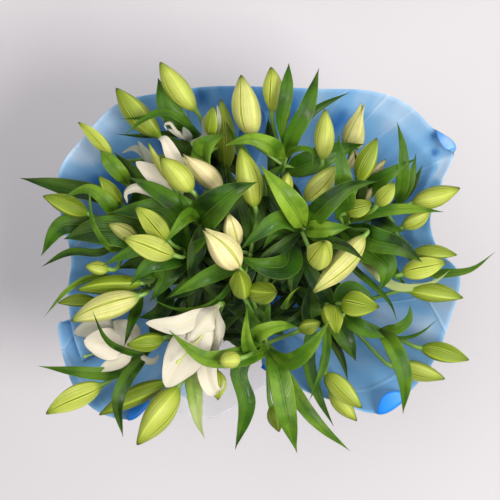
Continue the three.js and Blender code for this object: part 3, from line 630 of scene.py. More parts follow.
print("tree helpers ready")

# %% Steps that several trees share
def rail_path(tree, given):
    """The rails as curves."""
    return add(tree, "GeometryNodeMeshToCurve", {"Mesh": given.outputs["Geometry"]}).outputs[0]


def resampled(tree, given, path):
    feeds = {"Curve": path, "Count": given.outputs["Steps Along"]}
    return add(tree, "GeometryNodeResampleCurve", feeds).outputs[0]


def round_profile(tree, given):
    feeds = {"Resolution": given.outputs["Steps Round"], "Radius": 1.0}
    return add(tree, "GeometryNodeCurvePrimitiveCircle", feeds, mode="RADIUS").outputs[0]


def sweep(tree, path, profile, scale):
    feeds = {"Curve": path, "Profile Curve": profile, "Scale": scale, "Fill Caps": True}
    return add(tree, "GeometryNodeCurveToMesh", feeds).outputs[0]


print("shared steps ready")

# %% [markdown]
# ## The shape of a blade
# A lily leaf is a long lens: widest before its middle, drawn out to a fine tip, creased
# along its midrib, with edges that ripple a little. Petals are broader blades of the same
# make. A round profile swept along the midrib gives a closed skin; then each point is put
# where the rule says: across by the outline, up by the fold and the ripple, down towards the
# edge by the droop, and a hair's breadth to its own side of the blade for thickness.

# %% Blade tree
BEFORE_PLACING = 0.001


def blade_tree(name, outline):
    tree, given = new_tree(
        name, Steps_Along=26, Steps_Round=16, Fold=0.3, Droop=0.1, Ripple=0.05,
        Ripples=2.0, Thickness=0.0008, Look="look",
    )
    path = resampled(tree, given, rail_path(tree, given))
    factor = add(tree, "GeometryNodeSplineParameter").outputs["Factor"]
    tangent = Field(tree, add(tree, "GeometryNodeInputTangent").outputs[0])
    place = add(tree, "GeometryNodeInputPosition").outputs[0]
    side = named(tree, "side", "FLOAT_VECTOR")
    path = store(tree, path, "along", factor)
    path = store(tree, path, "spine", place, "FLOAT_VECTOR")
    path = store(tree, path, "lift", side.cross(tangent).normal(), "FLOAT_VECTOR")
    profile = store(tree, round_profile(tree, given), "across", Field(tree, place).part(0))
    profile = store(tree, profile, "face", Field(tree, place).part(1))
    skin = sweep(tree, path, profile, BEFORE_PLACING)
    across, along, face = (named(tree, n) for n in ("across", "along", "face"))
    half = named(tree, "width") * 0.5 * outline_field(tree, along ** named(tree, "late"), outline)
    off = across.size()
    fold = (off**0.9) * half * Field(tree, given.outputs["Fold"]) * named(tree, "cup") * 2.0
    droop = (off**3.0) * half * Field(tree, given.outputs["Droop"]) * 2.0
    phase = along * Field(tree, given.outputs["Ripples"]) * TURN + named(tree, "seed") * TURN
    ripple = (phase + across).sin() * (off**2.0) * half
    ripple = ripple * Field(tree, given.outputs["Ripple"]) * 2.0
    thick = face * Field(tree, given.outputs["Thickness"]) * 0.5
    height = fold - droop + ripple + thick
    spot = named(tree, "spine", "FLOAT_VECTOR").plus(side.times(across * half))
    spot = spot.plus(named(tree, "lift", "FLOAT_VECTOR").times(height))
    placed = add(tree, "GeometryNodeSetPosition", {"Geometry": skin, "Position": spot})
    flipped = add(tree, "GeometryNodeFlipFaces", {0: placed.outputs[0]})
    return finish_tree(tree, flipped.outputs[0], given.outputs["Look"])


LEAF_OUTLINE = [
    (0, 0.16), (0.06, 0.26), (0.16, 0.6), (0.3, 0.92), (0.42, 1), (0.56, 0.93), (0.72, 0.66),
    (0.86, 0.32), (0.95, 0.1), (1, 0.01),
]
PETAL_OUTLINE = [
    (0, 0.1), (0.1, 0.18), (0.2, 0.34), (0.32, 0.62), (0.45, 0.9), (0.57, 1), (0.7, 0.92),
    (0.82, 0.69), (0.91, 0.46), (0.97, 0.26), (1, 0.05),
]
leaf_tree = blade_tree("Leaf along its midrib", LEAF_OUTLINE)
petal_tree = blade_tree("Petal along its midrib", PETAL_OUTLINE)
print("blade trees:", len(leaf_tree.nodes), "nodes each")

# %% [markdown]
# ## The shape of a stalk and of a bud
# A stalk is a round tube whose thickness is written on its path. A bud is a tube too, with
# a swelling outline and a section that isn't round: three outer petals arch over it, their
# edges meet in furrows, and in each furrow the keel of an inner petal shows. The angle from
# the nearest furrow is arccos(cos 3a) / 3, which gives all three with one formula. A ripe
# bud's edges stand further apart, and where it begins to open, its ridges part at the tip.

# %% Stalk and bud trees
def swept(tree, given, path, scale):
    """Resamples a path and sweeps a circle along it.

    The place on the path stays in `along`, `run` and `spine`, that on the circle in `ring`.
    """
    path = resampled(tree, given, path)
    parameter = add(tree, "GeometryNodeSplineParameter")
    path = store(tree, path, "along", parameter.outputs["Factor"])
    path = store(tree, path, "run", parameter.outputs["Length"])
    place = Field(tree, add(tree, "GeometryNodeInputPosition").outputs[0])
    circle = store(tree, round_profile(tree, given), "ring", place, "FLOAT_VECTOR")
    path = store(tree, path, "spine", place, "FLOAT_VECTOR")
    return sweep(tree, path, circle, scale)


def stalk_tree():
    tree, given = new_tree("Stalk along its path", Steps_Along=24, Steps_Round=8, Look="look")
    skin = swept(tree, given, rail_path(tree, given), named(tree, "radius"))
    return finish_tree(tree, skin, given.outputs["Look"])


BUD_OUTLINE = [
    (0, 0.17), (0.04, 0.36), (0.12, 0.64), (0.25, 0.89), (0.39, 1), (0.53, 0.96), (0.68, 0.79),
    (0.82, 0.52), (0.92, 0.29), (0.97, 0.16), (1, 0.04),
]
RIDGE = math.pi / 3
KEEL_SPREAD, FURROW_SPREAD = 0.12, 0.07
FLAT_SHARE, MEAN_FLAT = 0.92, 1.22
PARTED_OUT, PARTED_ON = 0.0035, 0.009


def from_furrow(ring):
    """The angle round a bud, and the angle from the nearest of its three furrows."""
    turn = ring.part(1).angle_to(ring.part(0))
    return turn, (turn * 3.0).cos().arccos() / 3.0


def edge_gap(along, ripe):
    """How far the petals' edges stand from the middle of their furrow."""
    return (along * math.pi).sin() * (ripe * 0.07 + 0.01)


def bud_tree():
    tree, given = new_tree(
        "Bud along its axis", Steps_Along=34, Steps_Round=60, Furrow=0.045, Facet=0.3, Keel=0.02,
        Twist=0.4, Look="look",
    )
    factor = Field(tree, add(tree, "GeometryNodeSplineParameter").outputs["Factor"])
    twist = factor * Field(tree, given.outputs["Twist"]) + named(tree, "seed") * TURN
    feeds = {"Curve": rail_path(tree, given), "Tilt": twist}
    skin = swept(tree, given, add(tree, "GeometryNodeSetCurveTilt", feeds).outputs[0], 1.0)
    along, ripe, split, cone = (named(tree, n) for n in ("along", "ripe", "split", "cone"))
    _, off = from_furrow(named(tree, "ring", "FLOAT_VECTOR"))
    furrow = off.bump_at(edge_gap(along, ripe), FURROW_SPREAD)
    furrow = furrow * Field(tree, given.outputs["Furrow"])
    flat = 1.0 / (off * FLAT_SHARE).cos() - MEAN_FLAT
    facet = flat * (Field(tree, given.outputs["Facet"]) + cone * 0.4) * (along * 0.6 + 0.5)
    keel = off.bump_at(RIDGE, KEEL_SPREAD) * Field(tree, given.outputs["Keel"])
    fade = along**0.4 * (1.0 - along**10.0)
    lobes = (keel - furrow + facet) * fade + 1.0
    swell = outline_field(tree, along ** (1.0 - cone * 0.4), BUD_OUTLINE)
    radius = named(tree, "width") * 0.5 * swell * lobes
    parted = (off / RIDGE) ** 2.0 * along**9.0 * split
    place = Field(tree, add(tree, "GeometryNodeInputPosition").outputs[0])
    spine = named(tree, "spine", "FLOAT_VECTOR")
    spot = spine.plus(place.minus(spine).normal().times(radius + parted * PARTED_OUT))
    spot = spot.plus(named(tree, "axis", "FLOAT_VECTOR").times(parted * PARTED_ON))
    placed = add(tree, "GeometryNodeSetPosition", {"Geometry": skin, "Position": spot})
    return finish_tree(tree, placed.outputs[0], given.outputs["Look"])


stalks_tree = stalk_tree()
buds_tree = bud_tree()
print("stalk tree", len(stalks_tree.nodes), "bud tree", len(buds_tree.nodes))

# %% [markdown]
# ## Finishes
# Colours are given as they look on a screen and turned into the linear values that the
# shader works with. Two effects are shared: veins that run lengthwise, on leaves, stalks,
# buds and petals, and a soft mottle that keeps a surface from being one flat colour. Each
# is a node group with its own numbers in every material. A finish is a base colour with
# others laid over it, each by an amount that changes over the surface: `layered` does that.

# %% Colour helpers and shared groups
def colour(red, green, blue):
    def linear(c):
        c /= 255
        return c / 12.92 if c <= 0.04045 else ((c + 0.055) / 1.055) ** 2.4
    return (linear(red), linear(green), linear(blue), 1.0)


def group_sockets(tree, inputs, outputs):
    for label, value in inputs.items():
        kind = "NodeSocketVector" if isinstance(value, tuple) else "NodeSocketFloat"
        tree.interface.new_socket(label, in_out="INPUT", socket_type=kind).default_value = value
    for label in outputs:
        tree.interface.new_socket(label, in_out="OUTPUT", socket_type="NodeSocketFloat")


def vein_group():
    tree = bpy.data.node_groups.new("Lengthwise veins", "ShaderNodeTree")
    group_sockets(
        tree, {"Across": 0.0, "Along": 0.0, "Count": 10.0, "Waver": 1.0, "Seed": 0.0},
        ["Mask", "Height"],
    )
    given = tree.nodes.new("NodeGroupInput")
    across, along, count, waver, seed = (Field(tree, s) for s in given.outputs[:5])
    spot = add(tree, "ShaderNodeCombineXYZ", {0: across * 2.0, 1: along * 5.0, 2: seed * 9.0})
    noise = add(
        tree, "ShaderNodeTexNoise", {"Vector": spot.outputs[0], "Scale": 1.0, "Detail": 2.0})
    wave = (across * count * TURN + Field(tree, noise.outputs["Fac"]) * waver * TURN).sin()
    wave = wave * 0.5 + 0.5
    out = tree.nodes.new("NodeGroupOutput")
    feed(tree, wave**3.0, out.inputs["Mask"])
    feed(tree, wave, out.inputs["Height"])
    return tree


def mottle_group():
    tree = bpy.data.node_groups.new("Soft mottle", "ShaderNodeTree")
    group_sockets(tree, {"Place": (0, 0, 0), "Scale": 40.0, "Low": 0.35, "High": 0.65}, ["Mask"])
    given = tree.nodes.new("NodeGroupInput")
    noise = add(
        tree, "ShaderNodeTexNoise",
        {"Vector": given.outputs["Place"], "Scale": given.outputs["Scale"], "Detail": 4.0},
    )
    mask = Field(tree, noise.outputs["Fac"]).between(given.outputs["Low"], given.outputs["High"])
    out = tree.nodes.new("NodeGroupOutput")
    feed(tree, mask, out.inputs["Mask"])
    return tree


VEINS, MOTTLE = vein_group(), mottle_group()


def look(name):
    """A new material with its tree and its Principled node."""
    material = bpy.data.materials.new(name)
    material.use_nodes = True
    tree = material.node_tree
    return material, tree, tree.nodes["Principled BSDF"]


def attribute(tree, name, output="Fac"):
    node = add(tree, "ShaderNodeAttribute", attribute_name=name)
    return Field(tree, node.outputs[output])


def veins(tree, across, along, count, waver, seed):
    feeds = {"Across": across, "Along": along, "Count": count, "Waver": waver, "Seed": seed}
    node = add(tree, "ShaderNodeGroup", feeds, node_tree=VEINS)
    return Field(tree, node.outputs["Mask"]), Field(tree, node.outputs["Height"])


def mottle(tree, scale, low=0.35, high=0.65):
    place = add(tree, "ShaderNodeTexCoord").outputs["Object"]
    feeds = {"Place": place, "Scale": scale, "Low": low, "High": high}
    node = add(tree, "ShaderNodeGroup", feeds, node_tree=MOTTLE)
    return Field(tree, node.outputs["Mask"])


print("shared groups:", VEINS.name, MOTTLE.name)

# %% Laying colours and finishing a surface
def layered(tree, base, *layers):
    """Lays colours over a base. Each is a Field or (red, green, blue) as on a screen."""
    for amount, over in layers:
        node = add(tree, "ShaderNodeMix", data_type="RGBA")
        for socket, value in {0: amount, 6: base, 7: over}.items():
            value = colour(*value) if isinstance(value, tuple) else value
            feed(tree, value, node.inputs[socket])
        base = Field(tree, node.outputs[2])
    return base


def dress(tree, shader, tint, roughness, relief, distance, strength, **plain):
    """Feeds colour, roughness and a bump, and sets what is the same all over."""
    feed(tree, tint, shader.inputs["Base Color"])
    feed(tree, roughness, shader.inputs["Roughness"])
    feeds = {"Height": relief, "Distance": distance, "Strength": strength}
    feed(tree, add(tree, "ShaderNodeBump", feeds).outputs["Normal"], shader.inputs["Normal"])
    for label, value in plain.items():
        shader.inputs[label.replace("_", " ")].default_value = value


def let_light_through(material, tree, shader, tint, share):
    """Mixes a Translucent shader in, as light shines through a leaf, a petal or film."""
    through = add(tree, "ShaderNodeBsdfTranslucent")
    feed(tree, tint, through.inputs["Color"])
    both = add(
        tree, "ShaderNodeMixShader", {0: share, 1: shader.outputs[0], 2: through.outputs[0]})
    tree.links.new(both.outputs[0], tree.nodes["Material Output"].inputs["Surface"])
    return material


print("finish helpers ready")

# %% [markdown]
# ### Leaf, stalk, bud and petal
# A leaf's pattern follows the leaf, so it reads the `across` and `along` that the tree
# stored: a pale midrib, fine veins beside it that run together at the tip, painted shade in
# the furrows beside the midrib, a painted light on one half of the blade, and a paler
# underside. Its tone makes some leaves bright and others deep green; that is partly their own
# green and partly painted light and shade. Over 1 it shows a leaf that is turned over. A bud
# reads how ripe it is, and its furrows, ridges and lips take their places from the same angle
# as its shape. Painted shade darkens the flanks of its furrows, which are partly its own olive,
# and a painted highlight lightens its lips. A petal is white with a green midrib.

# %% Leaf finish
# The dark green is painted shade. The bright green is partly painted light, paled as a painted
# sheen. The tone picks between them.
LEAF = {
    "dark": (10, 30, 4), "green": (64, 110, 10), "bright": (146, 180, 48), "cool": (44, 98, 26),
    "fold": (140, 184, 54), "rib": (134, 176, 50), "shade by rib": (24, 58, 14), "edge": (152, 186, 60),
    "tip": (95, 70, 30), "under": (126, 156, 76), "pale": (206, 214, 150),
}


def leaf_look():
    material, tree, shader = look("lily_leaf_green")
    across, along, seed, tone, face = (
        attribute(tree, n) for n in ("across", "along", "seed", "tone", "face"))
    lines, height = veins(tree, across, along, 9.0, 0.2, seed)
    # The tone is partly the leaf's own green and partly painted light and shade.
    tone = tone + (mottle(tree, 22.0) - 0.5) * 0.4 + (lines - 0.4) * 0.16
    rib = across.bump_at(0.0, 0.04) * (1.0 - along * 0.6)
    green = layered(
        tree, LEAF["dark"],
        (tone.between(-0.05, 0.5), LEAF["green"]),
        (tone.between(0.45, 1.1), LEAF["bright"]),
        (seed * 0.3, LEAF["cool"]),
        # Painted light: the half of the blade on one side of the midrib is painted a little
        # lighter.
        (across.between(-0.2, 0.2) * 0.15, LEAF["fold"]),
        (rib * 0.4, LEAF["rib"]),
        # Painted shade in the furrows beside the midrib.
        (across.size().bump_at(0.1, 0.06) * 0.45, LEAF["shade by rib"]),
        (across.size().between(0.9, 1.0) * 0.35, LEAF["edge"]),
        (along.between(0.965, 1.0) * 0.7, LEAF["tip"]),
        ((1.0 - face.between(-0.15, 0.05)) * 0.5, LEAF["under"]),
        (tone.between(1.05, 1.7) * (1.0 - lines * 0.5) * 0.9, LEAF["pale"]),
    )
    roughness = mottle(tree, 60.0) * 0.14 - lines * 0.1 + 0.31
    relief = height * 0.7 - rib * 0.5 + mottle(tree, 38.0, 0.2, 0.8) * 1.5
    dress(tree, shader, green, roughness, relief, 0.0022, 0.6, Specular_IOR_Level=0.45)
    return let_light_through(material, tree, shader, green, 0.14)


leaf_green = leaf_look()
print(leaf_green.name, len(leaf_green.node_tree.nodes), "nodes")

# %% Stalk finish
def stalk_look(name, light, dark):
    material, tree, shader = look(name)
    ring, run = attribute(tree, "ring", "Vector"), attribute(tree, "run")
    turn = ring.part(1).angle_to(ring.part(0))
    streak, height = veins(tree, turn / TURN, run * 20.0, 9.0, 0.4, 0.0)
    green = layered(tree, light, (streak * 0.6, dark), (mottle(tree, 30.0) * 0.4, dark))
    dress(tree, shader, green, streak * 0.1 + 0.42, height, 0.0003, 0.5)
    return material


stalk_green = stalk_look("lily_stalk_green", (122, 158, 66), (72, 114, 38))
style_green = stalk_look("lily_style_green", (196, 206, 116), (150, 172, 72))
print(stalk_green.name, style_green.name)

# %% Bud finish
BUD = {
    "unripe": (92, 114, 2), "green": (162, 172, 60), "cream": (222, 202, 158),
    "middle": (198, 200, 116), "line": (126, 148, 30), "mottle": (124, 146, 24),
    "keel": (186, 202, 66), "vein": (126, 142, 26), "olive_and_shade_by_seam_colour": (100, 120, 12),
    "green_and_shade_by_ripe_seam": (176, 184, 52), "lip": (212, 216, 110), "seam": (78, 96, 4),
    "end": (98, 120, 10), "tip": (62, 58, 18), "foot": (112, 150, 40),
}


def bud_look():
    material, tree, shader = look("lily_bud_skin")
    along, seed, ripe, split = (attribute(tree, n) for n in ("along", "seed", "ripe", "split"))
    turn, off = from_furrow(attribute(tree, "ring", "Vector"))
    gap = edge_gap(along, ripe)
    lines, height = veins(tree, turn / TURN, along, 24.0, 0.2, seed)
    middle = (along * math.pi).sin() * off.between(0.25, 0.8) * (ripe * 1.2 + 0.06).at_most(0.4)
    vein = off.bump_at(0.68, 0.03) + off.bump_at(0.4, 0.02) * 0.6
    # Beside each furrow: partly the bud's own olive flank, partly painted shade in the furrow.
    olive_and_shade_by_seam = layered(tree, BUD["olive_and_shade_by_seam_colour"], (ripe.between(0.1, 0.6), BUD["green_and_shade_by_ripe_seam"]))
    # The lip is a painted highlight, where each petal's edge beside the seam catches the light.
    lip, seam = off.bump_at(gap + 0.075, 0.035), off.bump_at(gap, 0.022)
    closed = 1.0 - split * 0.8
    flesh = layered(
        tree, BUD["unripe"],
        (ripe.between(0.0, 0.4), BUD["green"]),
        (ripe.between(0.3, 1.0), BUD["cream"]),
        (middle * (1.0 - ripe.between(0.45, 0.8) * 0.8), BUD["middle"]),
        (lines * (0.28 - ripe**4.0 * 0.25), BUD["line"]),
        (mottle(tree, 55.0) * 0.2, BUD["mottle"]),
        (off.bump_at(RIDGE, KEEL_SPREAD) * (0.45 - ripe * 0.3), BUD["keel"]),
        (vein * 0.35, BUD["vein"]),
        (off.bump_at(gap, 0.16) * 0.5, olive_and_shade_by_seam),
        # painted highlight on the lips
        (lip * 0.4, BUD["lip"]),
        (seam * (0.9 - ripe * 0.2), BUD["seam"]),
        (along.between(0.76, 1.0) * closed * 0.8, BUD["end"]),
        (along.between(0.93, 1.0) * closed * 0.9, BUD["tip"]),
        ((1.0 - along.between(0.0, 0.16)) * 0.6, BUD["foot"]),
    )
    relief = height * 0.35 + lip * 0.6 - seam * 1.6 - vein * 0.5
    dress(
        tree, shader, flesh, lines * 0.1 + 0.46, relief, 0.0006, 0.8, Specular_IOR_Level=0.26,
        Subsurface_Weight=0.07, Subsurface_Radius=(0.004, 0.006, 0.001), Subsurface_Scale=1.0,
    )
    return material


bud_skin = bud_look()
print(bud_skin.name)

# %% Petal finish
PETAL = {
    "white": (228, 219, 199), "line": (208, 200, 174), "rib": (202, 196, 110),
    "foot": (206, 214, 132), "mottle": (228, 222, 204), "shade": (142, 150, 134),
}


def petal_look():
    material, tree, shader = look("lily_petal_white")
    across, along, seed, shade = (
        attribute(tree, n) for n in ("across", "along", "seed", "shade"))
    lines, height = veins(tree, across, along, 7.0, 0.3, seed)
    rib = across.bump_at(0.0, 0.06) * (1.0 - along.between(0.3, 1.0) * 0.6)
    white = layered(
        tree, PETAL["white"],
        (lines * 0.25, PETAL["line"]),
        (rib * 0.7, PETAL["rib"]),
        ((1.0 - along.between(0.0, 0.3)) * 0.7, PETAL["foot"]),
        (mottle(tree, 45.0) * 0.15, PETAL["mottle"]),
        (shade, PETAL["shade"]),
    )
    dress(tree, shader, white, lines * 0.1 + 0.48, height - rib, 0.0005, 0.6)
    return let_light_through(material, tree, shader, white, 0.25)


petal_white = petal_look()
print(petal_white.name)

# %% [markdown]
# ## Growing the stems
# For each stem the cell gathers paths: the stem itself, a stalk for every bud and flower,
# the leaves, and the small buds that are still one with the stem. Each kind goes through
# its own tree, and the results are joined, because a lily stem is one grown thing.

# %% Stalks
STEM_RADII = 0.0036, 0.0029
STEM_POINTS, STALK_POINTS = 60, 24
STALK_RADIUS, STALK_SWELL, SWELL_FROM = 0.003, 0.45, 0.8
STALK_START, STALK_STRAIGHT, STALK_INSET = 0.96, 0.009, 0.003
STALK_RISE, STALK_DROP, DROP_FROM = 0.004, 0.4, 0.03
UPWARDS = np.array([0, 0, 0.06])


def stalk_path(number, base, tip):
    """From the head of the stem to the foot of a bud, in line with the bud where it ends."""
    upper = RUNS[number][1]
    start = upper[round(STALK_START * (len(upper) - 1))]
    along = unit(tip - base)
    before = base - along * STALK_STRAIGHT
    drop = STALK_DROP * max(0, np.linalg.norm(before - start) - DROP_FROM)
    between = (start + before) / 2 + np.array([0, 0, STALK_RISE - drop])
    return smooth_path([start, between, before, base + along * STALK_INSET], STALK_POINTS)


def stalk_width(count):
    """A stalk's radius along its way: it swells into the bud's foot."""
    t = np.linspace(0, 1, count)
    swell = np.clip((t - SWELL_FROM) / (1 - SWELL_FROM), 0, 1) ** 2
    return STALK_RADIUS * (1 + STALK_SWELL * swell)


def stalks_of(number):
    lower, upper = RUNS[number]
    ends = [(base, at(tip)) for owner, tip, base, _, _ in BUDS + SMALL_BUDS if owner == number]
    for owner, base, petals in FLOWERS:
        if owner == number:
            ends.append((base, at(petals[0][3][0]) + UPWARDS))
    paths = [evenly(np.vstack([lower, upper[1:]]), STEM_POINTS)]
    paths += [stalk_path(number, at(base), tip) for base, tip in ends]
    radii = [np.linspace(*STEM_RADII, STEM_POINTS)] + [stalk_width(STALK_POINTS)] * len(ends)
    rail = rails(f"stalks_{number:02d}", paths, radius=radii)
    return grow(f"stalks_{number:02d}", rail, stalks_tree, Steps_Along=44, Look=stalk_green)


print("stalk widths:", stalk_width(5).round(4))

# %% [markdown]
# The plan names only the leaves that show. Between and below them a real stem carries more,
# and without them the bunch would look hollow from above. They get painted shade, darkest low
# on the stem, for want of light. They are set by the golden angle up each stem, with a fixed
# seed, and kept well inside the wrap. The ones that would cover a gap between the heads,
# listed in `WINDOWS`, are dropped.

# %% Leaves in the shade
SHADED_LEAVES, SHADED_LOW, BELOW_HEAD = 12, 385, 12
SHADED_LENGTHS, SHADED_WIDTHS = (0.07, 0.11), (0.018, 0.03)
# Painted shade: the tone is lowest low on the stem and rises towards the head, less a random
# darkening.
LIGHT_AT_HEAD, TONE_SPREAD, SHADED_ROLLS = 0.15, (-0.16, 0.0), (-0.5, 0.5)
MIDDLE_LIFTS, END_LIFTS, LIFT_FADE = (0.15, 0.35), (-0.1, 0.3), 1.2
GOLDEN_ANGLE = math.radians(137.5)
INWARDS = 10
WINDOWS = [
    (179, 226, 9), (161, 291, 13), (158, 306, 14), (146, 318, 9), (362, 272, 12), (365, 220, 8),
    (270, 300, 7), (135, 330, 12),
]
chance = random.Random(7)


def seen_at(points):
    """Where points appear in the view: the other way round from `at`."""
    scale = (VIEW_HEIGHT - points[:, 2]) * VIEW_SPREAD
    return np.stack([
        VIEW_CENTRE + (points[:, 0] - VIEW_X) / scale,
        VIEW_CENTRE - (points[:, 1] - VIEW_Y) / scale,
    ], axis=1)


def clears_windows(path):
    """Whether a leaf keeps off the gaps through which the film and the shade show."""
    places = seen_at(path)
    return all(
        np.hypot(places[:, 0] - u, places[:, 1] - v).min() > clear for u, v, clear in WINDOWS)


def shaded_leaves(number):
    """Paths, widths, tones and rolls of the leaves in the shade on one stem."""
    made = []
    start = chance.uniform(0, TURN)
    top = STEMS[number][2] - BELOW_HEAD
    for i in range(SHADED_LEAVES):
        high = (i + chance.random()) / SHADED_LEAVES
        root = on_stem(number, SHADED_LOW + (top - SHADED_LOW) * high)
        angle = start + i * GOLDEN_ANGLE
        length = chance.uniform(*SHADED_LENGTHS)
        way = np.array([math.cos(angle), math.sin(angle), 0])
        way = unit(way - np.array([root[0], root[1], 0]) * INWARDS)
        lift, fade = np.array([0, 0, length]), LIFT_FADE - high
        middle = root + way * length * 0.5 + lift * chance.uniform(*MIDDLE_LIFTS) * fade
        end = root + way * length + lift * chance.uniform(*END_LIFTS) * fade
        path, width = smooth_path([root, middle, end]), chance.uniform(*SHADED_WIDTHS)
        # painted shade, lighter towards the head
        tone = LIGHT_AT_HEAD * high**2 + chance.uniform(*TONE_SPREAD)
        if clears_windows(path):
            made.append((path, width, tone))
    return [(*leaf, chance.uniform(*SHADED_ROLLS)) for leaf in made]


print("shaded leaves a stem:", SHADED_LEAVES)

# %% All the leaves of a stem
ROOT_DROP = 2


def leaves_of(number):
    # Each leaf keeps its tone, partly its own green and partly painted light and shade.
    rows = [
        (smooth_path([on_stem(number, height - ROOT_DROP), *map(at, places)]), width * MM, tone,
         math.radians(roll), late[0] if late else 1.0)
        for owner, height, width, roll, tone, places, *late in LEAVES if owner == number
    ]
    rows += [(*leaf, 1.0) for leaf in shaded_leaves(number)]
    paths, widths, tones, rolls, lates = zip(*rows)
    seeds = [chance.random() for _ in paths]
    rail = rails(
        f"leaves_{number:02d}", paths, width=widths, tone=tones, seed=seeds,
        side=[sides_of(p, r) for p, r in zip(paths, rolls)], late=lates, cup=1.0,
    )
    return grow(
        f"leaves_{number:02d}", rail, leaf_tree, Look=leaf_green, Fold=0.38, Droop=0.14,
        Ripple=0.09, Ripples=2.0, Thickness=0.0009,
    )


print("planned leaves:", {number: sum(row[0] == number for row in LEAVES) for number in STEMS})

# %% [markdown]
# A bud's line bows a little to the side. `HALF_OPEN` has the large buds whose ridges part at
# the tip. `CONES` has those whose widest place is nearer to the foot, which makes them more
# pointed, or nearer to the tip where the number is under 0. `FACING` has those whose own
# turn shows, because a furrow or a ridge of theirs lies on top.

# %% Buds
BUD_BOW, BUD_POINTS = 0.03, 9
HALF_OPEN = {7: 0.6, 13: 1.0, 18: 0.3, 35: 0.6}
CONES = {1: -0.3, 2: -0.2, 10: -0.7, 13: 0.9, 17: 0.7, 22: 0.4, 23: 0.7, 33: 1.0, 34: 1.0}
FACING = {7: 0.25, 27: 0.25, 17: 0.25, 23: 0.3, 33: 0.25, 34: 0.2}


def bud_rail(name, rows, seeds, split=0.0, cone=0.0):
    paths, ways = [], []
    for (_, tip, base, _, _), seed in zip(rows, seeds):
        tip, base = at(tip), at(base)
        t = np.linspace(0, 1, BUD_POINTS)[:, None]
        bow = unit(np.cross(tip - base, [0, 0, 1])) * np.linalg.norm(tip - base) * BUD_BOW
        bow = bow * math.cos(seed * TURN)
        paths.append(base + (tip - base) * t + bow * 4 * t * (1 - t))
        ways.append(unit(tip - base))
    return rails(
        name, paths, width=[row[3] * MM for row in rows], ripe=[row[4] for row in rows],
        seed=seeds, axis=ways, split=split, cone=cone)


def small_buds_of(number):
    rows = [row for row in SMALL_BUDS if row[0] == number]
    if not rows:
        return []
    rail = bud_rail(f"small_buds_{number:02d}", rows, [chance.random() for _ in rows])
    return [grow(f"small_buds_{number:02d}", rail, buds_tree, Steps_Round=48, Look=bud_skin)]


print("half open:", sorted(HALF_OPEN))

# %% Stems and large buds as pieces
for number in STEMS:
    parts = [stalks_of(number), leaves_of(number), *small_buds_of(number)]
    piece = join(f"stem_{number:02d}", parts)
    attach(piece, "root")
    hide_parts(f"lily_stem_{number:02d}")
    print(piece.name, len(piece.data.polygons), "faces")

for i, row in enumerate(BUDS, 1):
    seed = FACING.get(i, chance.random())
    rail = bud_rail(
        f"bud_{i:02d}", [row], [seed], HALF_OPEN.get(i, 0.0), CONES.get(i, 0.0))
    piece = grow(f"bud_{i:02d}", rail, buds_tree, Look=bud_skin)
    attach(piece, "root")
    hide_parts(f"lily_bud_{i:02d}")
print("large buds:", len(BUDS))

# %% [markdown]
# ## Open flowers
# An open lily is a trumpet of six petals that share a short throat, and from it stands a
# slender style with a sticky green end. The petals use the blade tree with a broader outline
# and a cupped section, and the style is a stalk whose radius swells at its end.

# %% Flowers
STYLES = {
    2: [(200, 338, 628), (189, 351, 640), (176, 364, 642)],
    3: [(104, 350, 552), (93, 354, 556), (83, 357, 558)],
}
# The style of flower 3 lies in the shade, so it takes the darker stalk green as painted shade.
STYLE_LOOKS = {2: style_green, 3: stalk_green}
STYLE_RADIUS, STIGMA_RADIUS = 0.0012, 0.0028
STIGMA_MIDDLE, STIGMA_REACH = 0.965, 0.035
STYLE_POINTS, THROAT = 30, 0.006


def style(number):
    path = smooth_path([at(FLOWERS[number - 1][1]), *map(at, STYLES[number])], STYLE_POINTS)
    t = np.linspace(0, 1, STYLE_POINTS)
    swell = np.clip(1 - np.abs(t - STIGMA_MIDDLE) / STIGMA_REACH, 0, 1) ** 0.5
    radius = STYLE_RADIUS + (STIGMA_RADIUS - STYLE_RADIUS) * swell
    rail = rails(f"style_{number:02d}", [path], radius=[radius])
    return grow(
        f"style_{number:02d}", rail, stalks_tree, Steps_Along=60, Steps_Round=12,
        Look=STYLE_LOOKS[number])


def flower(number, row):
    _, base, petals = row
    foot = at(base)
    out = unit(at(petals[0][3][0]) - foot)
    paths = [smooth_path([foot, foot + out * THROAT, *map(at, row[3])]) for row in petals]
    widths, shades, cups = ([row[k] for row in petals] for k in range(3))
    rail = rails(
        f"flower_{number:02d}", paths, width=[w * MM for w in widths], shade=shades, cup=cups,
        late=1.0, seed=[chance.random() for _ in paths], side=[sides_of(p) for p in paths],
    )
    parts = [grow(
        f"flower_{number:02d}", rail, petal_tree, Look=petal_white, Fold=0.5, Droop=0.1,
        Ripple=0.12, Ripples=1.5, Thickness=0.0012, Steps_Along=34, Steps_Round=24,
    )]
    if number in STYLES:
        parts.append(style(number))
    return join(f"flower_{number:02d}", parts)


for i, row in enumerate(FLOWERS, 1):
    piece = flower(i, row)
    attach(piece, "root")
    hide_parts(f"lily_flower_{i:02d}")
    print(piece.name, len(piece.data.polygons), "faces")
